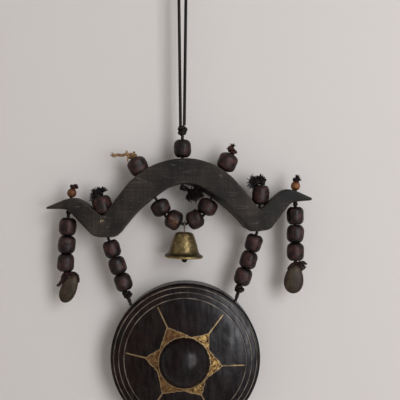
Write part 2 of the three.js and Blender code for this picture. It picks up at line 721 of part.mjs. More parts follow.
// The bell's string: from one shoulder hole to the other, bent between its beads
const BELL_FIRST_BELOW = 3; // the bead's top below the string's pivot, to clear the arm
const BELL_BEND_GAP = 3.4; // between the two beads of a side, measured down the cord
const APEX_DIP = 1.1; // how far the cord sags below the lower beads' ends
for (const s of SIDES) {
  s.bellPivotDepth = s.shoulderHole.foot - PIVOT_BELOW;
  s.bellPivot = s.shoulderHole.frame.localToWorld(new THREE.Vector3(0, 0, s.bellPivotDepth));
}
const bellBead = () => roundBead(BELL_BEAD_LENGTH, HOLE_R + 0.3, BELL_BEAD_R);
function bellLeg({ sign, side, shoulderHole, bellPivotDepth }) {
  const upper = shoulderHole.frame;
  const upperMid = bellPivotDepth - BELL_FIRST_BELOW - BELL_BEAD_LENGTH / 2;
  const bend = upper.localToWorld(
    new THREE.Vector3(0, 0, upperMid - (BELL_BEAD_LENGTH + BELL_BEND_GAP) / 2),
  );
  const lower = hang(gongWork, bend.x, bend.z, -sign * BELL_LOWER_LEAN);
  const lowerMid = -(BELL_BEAD_LENGTH + BELL_BEND_GAP) / 2;
  hang(upper, 0, upperMid).add(piece(`bell_bead_${side}_1`, bellBead(), BEAD_WOOD));
  hang(lower, 0, lowerMid).add(piece(`bell_bead_${side}_2`, bellBead(), BEAD_WOOD));
  const at = (frame, z) => {
    const p = frame.localToWorld(new THREE.Vector3(0, 0, z));
    return [p.x, p.z];
  };
  return [
    at(upper, bellPivotDepth),
    at(upper, upperMid),
    at(upper, upperMid - 0.42 * BELL_BEAD_LENGTH),
    [bend.x, bend.z],
    at(lower, lowerMid + 0.42 * BELL_BEAD_LENGTH),
    at(lower, lowerMid),
    at(lower, lowerMid - BELL_BEAD_LENGTH / 2),
  ];
}
const [leftLeg, rightLeg] = SIDES.map(bellLeg);
const [leftEnd, rightEnd] = [leftLeg, rightLeg].map((leg) => leg[leg.length - 1]);
const apex = {
  x: (leftEnd[0] + rightEnd[0]) / 2,
  z: (leftEnd[1] + rightEnd[1]) / 2 - APEX_DIP,
};
const apexPoints = [
  [THREE.MathUtils.lerp(leftEnd[0], apex.x, 0.55), THREE.MathUtils.lerp(leftEnd[1], apex.z, 0.7)],
  [apex.x, apex.z],
  [THREE.MathUtils.lerp(rightEnd[0], apex.x, 0.55), THREE.MathUtils.lerp(rightEnd[1], apex.z, 0.7)],
];
const bellCord = join(
  tube([...leftLeg, ...apexPoints, ...rightLeg.reverse()], CORD_R),
  ...SIDES.map((s) => ball(CORD_R, s.bellPivot.x, s.bellPivot.z)),
);
gongWork.add(piece("bell_cord", bellCord, BLACK_CORD));

// Wire eye: a ring over the cord, a shank through the bell's head, a ring inside for the clapper
const ringAcross = (radius, wire) =>
  new THREE.TorusGeometry(radius, wire, 6, 14).rotateY(Math.PI / 2);
const EYE_R = CORD_R + SEAT + WIRE_R + 0.6;
const eyeZ = apex.z - (EYE_R - WIRE_R - CORD_R - SEAT);
const INNER_RING_R = 2;
const innerRingZ = BELL_TOP_Z - BELL_WALL - SEAT - INNER_RING_R - WIRE_R;
const eye = join(
  ringAcross(EYE_R, WIRE_R).translate(0, 0, eyeZ),
  bar(WIRE_R, eyeZ - EYE_R, innerRingZ + INNER_RING_R, 6),
  ringAcross(INNER_RING_R, WIRE_R).translate(0, 0, innerRingZ),
);
hang(gongWork, apex.x, 0).add(piece("bell_eye", eye, STEEL_WIRE));

// Bell: cast brass, turned about Z, a flared lip and a hole in its head for the eye
const BELL_HOLE_R = 1.4;
const bellProfile = [
  [BELL_HOLE_R, -BELL_WALL],
  [BELL_HEAD_R - BELL_WALL - 1.6, -BELL_WALL],
  [BELL_HEAD_R - BELL_WALL, -3.4],
  [BELL_WAIST_R - BELL_WALL, -0.79 * BELL_HEIGHT],
  [BELL_LIP_R - BELL_WALL - 0.5, -BELL_HEIGHT],
  [BELL_LIP_R - 0.4, -BELL_HEIGHT],
  [BELL_LIP_R, -BELL_HEIGHT + 0.7],
  [BELL_LIP_R - 0.5, -BELL_HEIGHT + 2.6],
  [BELL_WAIST_R, -0.79 * BELL_HEIGHT],
  [0.5 * (BELL_HEAD_R + BELL_WAIST_R) + 0.3, -0.47 * BELL_HEIGHT],
  [BELL_HEAD_R + 0.5, -2.6],
  [BELL_HEAD_R - 0.6, -0.9],
  [BELL_HEAD_R - 2.2, 0],
  [BELL_HOLE_R, 0],
];
const bellPivotZ = BELL_TOP_Z - BELL_WALL / 2;
const bellGroup = hang(gongWork, apex.x, bellPivotZ, -BELL_LEAN);
bellGroup.add(
  piece("bell", turned(bellProfile, BELL_SIDES).translate(0, 0, BELL_WALL / 2), OLD_BRASS),
);

// Clapper: a wire ring round the eye's inner ring, a shank and a ball
const CLAPPER_RING_R = WIRE_R + SEAT + WIRE_R + 0.15;
const clapperHingeZ = innerRingZ - INNER_RING_R;
const clapperRingZ = WIRE_R + SEAT + WIRE_R - CLAPPER_RING_R;
const clapper = join(
  new THREE.TorusGeometry(CLAPPER_RING_R, WIRE_R, 6, 12)
    .rotateX(Math.PI / 2)
    .translate(0, 0, clapperRingZ),
  bar(WIRE_R, clapperRingZ - CLAPPER_RING_R, -CLAPPER_DROP, 6),
  new THREE.SphereGeometry(CLAPPER_R, 12, 8).rotateX(Math.PI / 2).translate(0, 0, -CLAPPER_DROP),
);
hang(gongWork, apex.x, clapperHingeZ).add(piece("clapper", clapper, OLD_BRASS));

// Wing pendants: a small swivel knot, three beads on a cord, and a flat wooden drop tied below
function egg(halfWidth) {
  const body = new THREE.SphereGeometry(1, 16, 10).rotateX(Math.PI / 2);
  const place = body.attributes.position;
  for (let i = 0; i < place.count; i++) {
    const [x, y, z] = [place.getX(i), place.getY(i), place.getZ(i)];
    const narrowing = 1 - DROP.egg * z;
    place.setXYZ(i, x * halfWidth * narrowing, y * DROP.halfThickness, z * DROP.halfHeight);
  }
  return body.translate(0, 0, DROP_HOLE_BELOW_TOP - DROP.halfHeight);
}
const TIE_R = 1.2;
const END_KNOT_R = 1.1 * CORD_R; // where a pendant's string meets its tie
const TIE_CREST = DROP_HOLE_BELOW_TOP + TIE_R + 0.7;
// The tie: a loop of thinner cord from the string's end, through the drop's hole and back
function tieRoute(halfWidth, end) {
  const share = (DROP.halfHeight - DROP_HOLE_BELOW_TOP) / DROP.halfHeight;
  const edge = halfWidth * (1 - DROP.egg * share) * Math.sqrt(1 - share ** 2);
  const leg = edge + TIE_R + 1.4;
  const mouth = [
    [edge - 1, 0],
    [edge + 0.6, 0.2],
    [leg, 1.6],
  ];
  const overTop = [
    [leg - 0.2, 3.6],
    [0.62 * leg, TIE_CREST - 1],
  ];
  const mirrored = (points) => points.map(([x, z]) => [-x, z]).reverse();
  const farSide = end.u < -0.5 * leg ? [...overTop, [-0.1 * leg, TIE_CREST]] : overTop;
  const nearSide = end.u < -0.5 * leg ? [] : mirrored(overTop);
  return [
    [end.u - 0.2, end.w],
    ...nearSide,
    ...mirrored(mouth),
    [0, 0],
    ...mouth,
    ...farSide,
    [end.u + 0.2, end.w],
  ];
}
// How far below the hole in the wing a bead's top has to be, so that its inner side clears the wing
function clearOfWing(s, length) {
  const top = length / 2;
  const needs = beadSide(length, BEAD_R).map(([r, z]) => {
    const [, underside] = crossings(s.sign * (s.tipHoleU - r), WING_TIP.w, s.tipHoleAt.lean);
    return underside + s.tipHole.foot - (top - z);
  });
  return Math.max(...needs) + WING_CLEARANCE;
}

for (const s of SIDES) {
  const swivel = s.tipHole.frame.localToWorld(
    new THREE.Vector3(0, 0, s.tipHole.foot - SWIVEL_R - 0.1),
  );
  hang(gongWork, swivel.x, swivel.z).add(
    piece(`pendant_swivel_${s.side}`, ball(SWIVEL_R), BLACK_CORD),
  );
  const string = hang(gongWork, swivel.x, swivel.z, s.pendantLean);
  const cordTop = -SWIVEL_R - SEAT;
  const firstBeadTop = Math.min(
    cordTop - s.cordShown,
    SWIVEL_R + 0.1 - clearOfWing(s, PENDANT_BEAD_LENGTH),
  );
  const pitch = PENDANT_BEAD_LENGTH + BEAD_GAP;
  for (let i = 0; i < PENDANT_BEADS; i++) {
    const mid = firstBeadTop - PENDANT_BEAD_LENGTH / 2 - i * pitch;
    hang(string, 0, mid).add(
      piece(`pendant_bead_${s.side}_${i + 1}`, bead(PENDANT_BEAD_LENGTH), BEAD_WOOD),
    );
  }
  const lastBeadFoot = firstBeadTop - PENDANT_BEADS * pitch + BEAD_GAP;
  const tieTop = lastBeadFoot - END_KNOT_R - SEAT;
  const end = string.localToWorld(new THREE.Vector3(0, 0, tieTop));
  const fromEnd = new THREE.Vector2(-s.tieAt.u, -s.tieAt.w).rotateAround(
    new THREE.Vector2(),
    -rad(s.dropLean),
  );
  const drop = hang(gongWork, end.x + fromEnd.x, end.z + fromEnd.y, -s.dropLean);
  const dropHole = bar(TIE_R + BORE_CLEARANCE + 0.1, s.dropHalfWidth, -s.dropHalfWidth, 12);
  dropHole.rotateY(Math.PI / 2);
  drop.add(piece(`drop_${s.side}`, cut(egg(s.dropHalfWidth), dropHole), DROP_WOOD));
  const route = tieRoute(s.dropHalfWidth, s.tieAt);
  const legX = Math.max(...route.map(([x]) => x));
  const tie = [
    tube(route, TIE_R, 6),
    knot(0.9 * TIE_R).translate(s.sign * legX, 0, 3),
    fray(2, TIE_TUFT, 12, s.sign * 150).translate(s.sign * legX, 0, 2.6),
  ];
  const intoString = string.matrixWorld.clone().invert().multiply(drop.matrixWorld);
  tie.forEach((t) => t.applyMatrix4(intoString));
  string.add(
    piece(
      `pendant_cord_${s.side}`,
      join(bar(CORD_R, cordTop, tieTop), ball(END_KNOT_R, 0, tieTop), ...tie),
      BLACK_CORD,
    ),
  );
}

export default gongWork;
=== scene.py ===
import json
import math
import random

import bpy
import bmesh
from mathutils import Matrix, Vector, noise


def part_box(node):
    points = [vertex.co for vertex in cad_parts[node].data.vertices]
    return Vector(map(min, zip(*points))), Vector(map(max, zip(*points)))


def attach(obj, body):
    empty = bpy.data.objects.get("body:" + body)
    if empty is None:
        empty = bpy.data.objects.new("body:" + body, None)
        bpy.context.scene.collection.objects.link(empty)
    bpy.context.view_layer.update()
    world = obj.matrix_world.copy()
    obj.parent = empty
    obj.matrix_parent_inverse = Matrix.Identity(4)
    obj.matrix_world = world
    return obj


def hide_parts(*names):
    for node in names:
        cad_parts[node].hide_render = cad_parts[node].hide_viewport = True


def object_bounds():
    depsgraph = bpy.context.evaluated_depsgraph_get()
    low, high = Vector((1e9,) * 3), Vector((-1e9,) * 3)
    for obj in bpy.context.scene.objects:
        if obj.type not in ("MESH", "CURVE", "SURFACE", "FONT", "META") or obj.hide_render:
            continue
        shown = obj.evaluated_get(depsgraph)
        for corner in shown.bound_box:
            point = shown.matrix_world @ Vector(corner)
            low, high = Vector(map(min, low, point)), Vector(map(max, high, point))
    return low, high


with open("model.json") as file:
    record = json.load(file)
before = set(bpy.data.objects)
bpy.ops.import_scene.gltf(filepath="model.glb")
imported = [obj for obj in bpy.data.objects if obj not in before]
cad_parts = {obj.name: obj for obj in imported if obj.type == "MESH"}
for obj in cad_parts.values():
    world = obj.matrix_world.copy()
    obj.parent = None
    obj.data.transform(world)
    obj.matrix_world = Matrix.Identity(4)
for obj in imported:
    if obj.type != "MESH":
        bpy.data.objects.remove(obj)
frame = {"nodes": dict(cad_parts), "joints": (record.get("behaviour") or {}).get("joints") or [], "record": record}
cad_box = [list(corner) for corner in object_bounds()]
nodes = frame["nodes"]
turns = {joint["child"]: joint for joint in frame["joints"]}
MM = 0.001

# View
# The hanging is seen straight on from 0.65 m, and the picture is 0.4 m across at its cords.
# The lens is level with the bell and a little to the right of the hanging cord.
VIEW_DISTANCE = 650 * MM
VIEW_WIDTH = 400 * MM
LENS_RIGHT_OF_CORD = 17.6 * MM
LENS_BELOW_NAIL = 216 * MM
camera = bpy.data.objects.new("camera", bpy.data.cameras.new("camera"))
camera.data.lens = camera.data.sensor_width * VIEW_DISTANCE / VIEW_WIDTH
camera.location = (LENS_RIGHT_OF_CORD, -VIEW_DISTANCE, -LENS_BELOW_NAIL)
camera.rotation_euler = (math.radians(90), 0, 0)
bpy.context.collection.objects.link(camera)
bpy.context.scene.camera = camera
bpy.context.scene.view_settings.view_transform = "Standard"


# Hanging cord
# One length of black waxed cotton cord, laid up from three plies, goes up from the big knot,
# over the nail and down again. Wax gives it a dull shine on the crown of each ply.
def linear(code):
    """An sRGB hex colour as the linear values that a shader takes."""
    channels = [int(code[i : i + 2], 16) / 255 for i in (1, 3, 5)]
    return [c / 12.92 if c <= 0.04045 else ((c + 0.055) / 1.055) ** 2.4 for c in channels] + [1.0]


def feed(node, inputs):
    """Sets inputs to values, or links them to output sockets or to the one result of a node."""
    for socket, value in inputs.items():
        if isinstance(value, bpy.types.Node):
            value = next(output for output in value.outputs if output.enabled)
        if isinstance(value, bpy.types.NodeSocket):
            node.id_data.links.new(value, node.inputs[socket])
        else:
            node.inputs[socket].default_value = value


def blank_material(name, constants):
    """A material, its principled shader with some constants, the function that adds its nodes,
    and the place on the object."""
    material = bpy.data.materials.new(name)
    material.use_nodes = True
    shader = material.node_tree.nodes["Principled BSDF"]
    feed(shader, constants)

    def add(kind, inputs=None, **settings):
        """Adds one node with its settings and inputs."""
        node = material.node_tree.nodes.new("ShaderNode" + kind)
        for name, value in settings.items():
            setattr(node, name, value)
        feed(node, inputs or {})
        return node

    return material, shader, add, add("TexCoord").outputs["Object"]


def tube(points, radius, sides=8):
    """A closed tube along points. radius is a number, or a function of run along and turn round."""
    points = [Vector(p) for p in points]
    last = len(points) - 1
    across = (points[1] - points[0]).orthogonal().normalized()
    vertices, faces, run = [], [], 0.0
    for i, point in enumerate(points):
        along = (points[min(i + 1, last)] - points[max(i - 1, 0)]).normalized()
        across = (across - along * across.dot(along)).normalized()
        up = along.cross(across)
        run += (point - points[i - 1]).length if i else 0.0
        for k in range(sides):
            turn = 2 * math.pi * k / sides
            r = radius(run, turn) if callable(radius) else radius
            vertices.append(point + r * (math.cos(turn) * across + math.sin(turn) * up))
        if i:
            now, before = i * sides, (i - 1) * sides
            for k in range(sides):
                after = (k + 1) % sides
                faces.append((before + k, before + after, now + after, now + k))
    faces.append(tuple(reversed(range(sides))))
    faces.append(tuple(range(last * sides, (last + 1) * sides)))
    return vertices, faces


def together(*forms):
    """Several forms as one."""
    vertices, faces = [], []
    for more_vertices, more_faces in forms:
        start = len(vertices)
        vertices.extend(more_vertices)
        faces.extend(tuple(start + i for i in face) for face in more_faces)
    return vertices, faces


def smooth_path(points, step):
    """A smooth curve through the points, with one point about every step."""
    points = [Vector(p) for p in points]
    path = []
    for i in range(len(points) - 1):
        a, b, c, d = (points[min(max(i + k, 0), len(points) - 1)] for k in (-1, 0, 1, 2))
        count = max(1, math.ceil((c - b).length / step))
        for k in range(count):
            t = k / count
            path.append(0.5 * (2 * b + t * (c - a) + t**2 * (2 * a - 5 * b + 4 * c - d)
                               + t**3 * (3 * b - 3 * c + d - a)))
    return path + [points[-1]]


CORD_PLIES = 3
PLY_TURN = 8 * MM  # length of cord in which a ply goes once round
PLY_GROOVE = 0.16  # depth of the grooves between plies, as a share of the cord's radius


def laid_cord(points, radius, step=0.7 * MM, sides=18):
    """A cord of plies twisted together, along a smooth curve through the points."""

    def plies(run, turn):
        wave = abs(math.cos(CORD_PLIES / 2 * (turn - 2 * math.pi * run / PLY_TURN)))
        return radius * (1 - PLY_GROOVE * (1 - wave) ** 1.5)

    return tube(smooth_path(points, step), plies, sides)


def mesh_object(name, form, material, place=Matrix.Identity(4), crease=50):
    """A mesh object from a form, smooth but for edges sharper than crease degrees."""
    mesh = bpy.data.meshes.new(name)
    mesh.from_pydata([tuple(v) for v in form[0]], [], form[1])
    mesh.materials.append(material)
    mesh.shade_smooth()
    mesh.set_sharp_from_angle(angle=math.radians(crease))
    made = bpy.data.objects.new(name, mesh)
    made.matrix_world = place
    bpy.context.collection.objects.link(made)
    return made


body_of = {n: b for b, members in frame["record"]["behaviour"]["bodies"].items() for n in members}


def stands_for(made, node, slot):
    """The object takes the place of a CAD node and moves with its body."""
    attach(made, body_of[node])
    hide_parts(node)


def piece(node, slot, name, form, material, **shown):
    """A mesh object in place of a CAD node."""
    made = mesh_object(name, form, material, **shown)
    stands_for(made, node, slot)
    return made


def waxed_cotton(name, deep, lit, roughness):
    """Cotton cord soaked in wax: close fibres along the ply, and a dull broken shine."""
    material, shader, add, place = blank_material(name, {"Specular IOR Level": 0.18,
                                                         "Roughness": roughness})
    FIBRE = 0.5 * MM  # cotton fibres are finer, and are drawn as wide as the render can show
    SOILING = 9 * MM
    fibres = add("TexNoise", {"Vector": place, "Scale": 1 / FIBRE, "Detail": 3.0})
    soiling = add("TexNoise", {"Vector": place, "Scale": 1 / SOILING, "Detail": 2.0})
    mixed = add("Math", {0: fibres, 1: soiling})
    spread = add("MapRange", {0: mixed, 1: 0.75, 2: 1.25})
    tint = add("Mix", {0: spread, 6: linear(deep), 7: linear(lit)}, data_type="RGBA")
    bump = add("Bump", {"Height": fibres, "Strength": 0.6, "Distance": 0.15 * MM})
    feed(shader, {"Base Color": tint, "Normal": bump})
    return material


black_waxed_cord = waxed_cotton("black_waxed_cotton", "#060404", "#191210", 0.5)

HANGER_R = 1.6 * MM
STRAND_TOP, STRAND_FOOT = 3.65 * MM, 1.9 * MM  # each strand from the middle, at nail and at knot
HANGER_DROP = 141.4 * MM
LOOP_Z = HANGER_R - STRAND_TOP
STRAND_STEPS, LOOP_STEPS = 5, 10
strand = [(STRAND_FOOT + (STRAND_TOP - STRAND_FOOT) * i / STRAND_STEPS,
           -HANGER_DROP + (LOOP_Z + HANGER_DROP) * i / STRAND_STEPS) for i in range(STRAND_STEPS)]
hanger_route = [(-x, 0, z) for x, z in strand]
for i in range(LOOP_STEPS + 1):
    turn = math.pi * (1 - i / LOOP_STEPS)
    hanger_route.append((STRAND_TOP * math.cos(turn), 0, LOOP_Z + STRAND_TOP * math.sin(turn)))
hanger_route += [(x, 0, z) for x, z in reversed(strand)]
hanger_path = smooth_path(hanger_route, 0.7 * MM)
hanging_cord = piece("hanger_cord", "black_cord", "hanging_cord",
                     laid_cord(hanger_route, HANGER_R), black_waxed_cord)
run_length = sum((b - a).length for a, b in zip(hanger_path, hanger_path[1:]))
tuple(hanger_route[0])


# Big knot and neck
# The two strands are tied together in one overhand knot, hard and shiny with wax, and go on
# side by side through the crown bead and the yoke.
def knot(centre, axis, radius, cord_radius, roll=0.0, flatness=1.2):
    """An overhand knot pulled tight round a cord that runs along axis."""
    STEPS = 72
    scale = (radius - cord_radius) / 3
    tilt = Vector(axis).to_track_quat("Z", "Y").to_matrix()
    path = []
    for i in range(STEPS + 2):
        t = 2 * math.pi * i / STEPS
        wide = 2 + math.cos(3 * t)
        point = Vector((wide * math.cos(2 * t + roll), wide * math.sin(2 * t + roll),
                        flatness * math.sin(3 * t)))
        path.append(Vector(centre) + tilt @ (scale * point))
    return laid_cord(path, cord_radius, step=1.2 * MM, sides=12)


UP = Vector((0, 0, 1))
low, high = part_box("hanger_knot")
big_knot_centre = (low + high) / 2
BIG_KNOT_R = 5.4 * MM
big_knot = together(
    knot(big_knot_centre + Vector((0, 0, 1.6 * MM)), UP + Vector((0.3, 0, 0)), BIG_KNOT_R,
         1.9 * MM, roll=0.5),
    knot(big_knot_centre - Vector((0.4 * MM, 0, 2.2 * MM)), UP - Vector((0.2, 0.1, 0)),
         0.85 * BIG_KNOT_R, 1.8 * MM, roll=1.7),
    laid_cord([(0, 0, low.z), (0, 0, high.z)], 2.2 * MM),
)
piece("hanger_knot", "black_cord", "big_knot", big_knot, black_waxed_cord)


def doubled_cord(top, foot, radius):
    """Two cords side by side, one behind the other."""
    return [laid_cord([(0, y, top), (0, y, foot)], radius) for y in (-radius, radius)]


low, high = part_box("crown_cord")
neck_radius = (high.y - low.y) / 4
neck = together(*doubled_cord(low.z, high.z, neck_radius))
piece("crown_cord", "black_cord", "neck_cord", neck, black_waxed_cord)


# Wooden beads
# Barrel beads of a close-grained hardwood, turned one by one and dyed a dark purple brown. Each
# belly is painted lighter and redder, a painted highlight that is partly rubbed wear where the red
# of the wood comes through. Their nearly black ends are painted shade.
def turned(profile, sides, change=None):
    """A form turned about Z from (radius, height) points, anticlockwise, poles where radius is 0."""
    vertices, faces, rings = [], [], []
    for radius, height in profile:
        ring = []
        for k in range(sides if radius > 0 else 1):
            turn = 2 * math.pi * k / sides
            point = Vector((radius * math.cos(turn), radius * math.sin(turn), height))
            ring.append(len(vertices))
            vertices.append(change(point) if change else point)
        rings.append(ring * sides if len(ring) == 1 else ring)
    closed = profile[0][0] > 0
    for i in range(len(rings) if closed else len(rings) - 1):
        here, there = rings[i], rings[(i + 1) % len(rings)]
        for k in range(sides):
            after = (k + 1) % sides
            face = (here[k], here[after], there[after], there[k])
            faces.append(tuple(dict.fromkeys(face)))
    return vertices, faces


def dyed_turned_wood(name, shaded_ends, body, worn_and_highlight, roughness):
    """Turned hardwood: fine grain along the hole, ends darkened as painted shade, and a belly lightened and
    reddened as a painted highlight, partly rubbed back by hands.
    """
    material, shader, add, place = blank_material(name, {"Specular IOR Level": 0.24})
    GRAIN_WIDTH, GRAIN_LENGTH, BLOTCH = 0.9 * MM, 10 * MM, 6 * MM
    tone, belly_highlight, dye, undyed = (add("Attribute", attribute_name=kept).outputs["Fac"]
                                for kept in ("tone", "belly_highlight", "dye", "undyed"))
    along_hole = add("Mapping", {
        "Vector": place, "Scale": (1 / GRAIN_WIDTH, 1 / GRAIN_WIDTH, 1 / GRAIN_LENGTH)})
    grain = add("TexNoise", {"Vector": along_hole, "W": tone, "Scale": 1.0, "Detail": 4.0,
                             "Roughness": 0.6}, noise_dimensions="4D")
    blotch = add("TexNoise", {"Vector": place, "W": tone, "Scale": 1 / BLOTCH, "Detail": 3.0},
                 noise_dimensions="4D")
    patchy = add("MapRange", {0: blotch, 1: 0.43, 2: 0.64})
    # The ends are painted nearly black as painted shade, and the belly lighter and redder as a painted highlight
    # that is partly blotchy rubbed wear
    dyed = add("Mix", {0: belly_highlight, 6: linear(shaded_ends), 7: linear(body)}, data_type="RGBA")
    rubbed_and_highlight = add("Math", {0: patchy, 1: belly_highlight}, operation="MULTIPLY")
    red = add("Mix", {0: rubbed_and_highlight, 6: dyed, 7: linear(worn_and_highlight)}, data_type="RGBA")
    streak = add("MapRange", {0: grain, 1: 0.35, 2: 0.7, 3: 0.5, 4: 1.25})
    streak = add("Math", {0: streak, 1: dye}, operation="MULTIPLY")
    dyed = add("Mix", {0: 1.0, 6: red, 7: streak}, data_type="RGBA", blend_type="MULTIPLY")
    missed = add("MapRange", {0: grain, 1: 0.5, 2: 0.64})
    missed = add("Math", {0: missed, 1: undyed}, operation="MULTIPLY")
    missed = add("Math", {0: missed, 1: patchy}, operation="MULTIPLY")
    colour = add("Mix", {0: missed, 6: dyed, 7: linear("#7d5a37")}, data_type="RGBA")
    shine = add("MapRange", {0: blotch, 1: 0.3, 2: 0.7, 3: roughness - 0.08, 4: roughness + 0.12})
    bump = add("Bump", {"Height": grain, "Strength": 0.6, "Distance": 0.2 * MM})
    feed(shader, {"Base Color": colour, "Roughness": shine, "Normal": bump})
    return material


# Each wood's colours: painted shade on the ends, the body, and a painted highlight on the belly that is partly
# wear
dyed_bead_wood = dyed_turned_wood("dyed_turned_hardwood", "#060404", "#1c1312", "#472c28", 0.44)
clear_bead_wood = dyed_turned_wood("clear_turned_softwood", "#3d2113", "#633c24", "#83532f", 0.42)

BEAD_SIDES = 48
END_ROUND = 0.5 * MM
# A bead's flat end as a share of its width, how late it narrows, and how many mm longer at each
# end and how much wider it is than its solid. The bell string's and the shoulder beads are
# rounder, the tip beads are nearly balls, and the notch beads stay clear of their seats.
BEAD_SHAPES = {"bell": (0.48, 4.6, 0.5, 1.02), "shoulder": (0.48, 4.6, 0, 1), "tip": (0.5, 2.5, 0.4, 1),
               "notch": (0.64, 4.2, -0.15, 0.99)}
PLAIN_SHAPE = (0.64, 4.2, 0, 1)


def extent(node, centre, axis):
    """How far a node reaches below and above a point along an axis, and out from that axis."""
    runs, reaches = [], []
    for vertex in nodes[node].data.vertices:
        offset = vertex.co - centre
        runs.append(offset.dot(axis))
        reaches.append((offset - offset.dot(axis) * axis).length)
    return min(runs), max(runs), max(reaches), min(reaches)


def hinge_of(node):
    """The point and the axis that a node turns about."""
    return Vector(turns[node]["pos_m"]), Vector(turns[node]["axis"])


BEAD_STEPS, BORE_STEPS = 18, 6
for seed, node in enumerate(sorted(n for n in nodes if "bead" in n)):
    rng = random.Random(seed)
    centre, axis = hinge_of(node)
    low, high, radius, bore = extent(node, centre, axis)
    kind = node.split("_")[0]
    end_share, end_fall, longer, wider = BEAD_SHAPES.get(kind, PLAIN_SHAPE)
    half, radius = (high - low) / 2 + longer * MM, wider * radius
    dyed = 0.72 if kind in ("crown", "bell") else 1.0  # some took more of the dye
    wood, slot = dyed_bead_wood, "bead_wood"
    if kind == "tip":
        wood, slot = clear_bead_wood, "tip_bead_wood"
    side = []
    for i in range(BEAD_STEPS + 1):
        t = -1 + 2 * i / BEAD_STEPS
        side.append((radius * (1 - (1 - end_share) * abs(t) ** end_fall),
                     t * (half - 0.4 * END_ROUND)))
    end_radius = end_share * radius
    foot = [(bore, -half), (0.6 * end_radius, -half), (end_radius - END_ROUND, -half)]
    top = [(r, -z) for r, z in reversed(foot)]
    wall = [(bore, half * (1 - 2 * i / BORE_STEPS)) for i in range(1, BORE_STEPS)]
    uneven = Vector([rng.uniform(0, 50) for _ in range(3)])
    facets, lean = rng.randint(5, 8), rng.uniform(0, 6.28)

    def hand_turned(point):
        out = Vector((point.x, point.y, 0))
        if out.length < 1.3 * bore:
            return point
        swell = 0.075 * noise.noise(point * (0.8 / radius) + uneven)
        swell += 0.03 * noise.noise(point * (2.2 / radius) + uneven)
        flat = 0.012 * math.cos(facets * math.atan2(point.y, point.x) + lean)
        return point + out * (swell + flat) * out.length / radius

    made = piece(node, slot, node + "_turned",
                 turned(foot + side + top + wall, BEAD_SIDES, hand_turned), wood,
                 place=Matrix.Translation(centre) @ axis.to_track_quat("Z", "Y").to_matrix().to_4x4(),
                 crease=60)
    missed = 0.75 if node == "bell_bead_left_2" else 0.0  # its grain shows through in streaks
    count = len(made.data.vertices)
    # Share of the painted highlight along each bead's side, none on the flat ends, which keep the painted shade
    belly_highlights = [max(0.0, 1 - abs(v.co.z / half) ** 3) if v.co.xy.length > end_radius else 0.0
               for v in made.data.vertices]
    for name, values in (("tone", [3.7 * seed] * count), ("dye", [dyed] * count),
                         ("undyed", [missed] * count), ("belly_highlight", belly_highlights)):
        made.data.attributes.new(name, "FLOAT", "POINT").data.foreach_set("value", values)


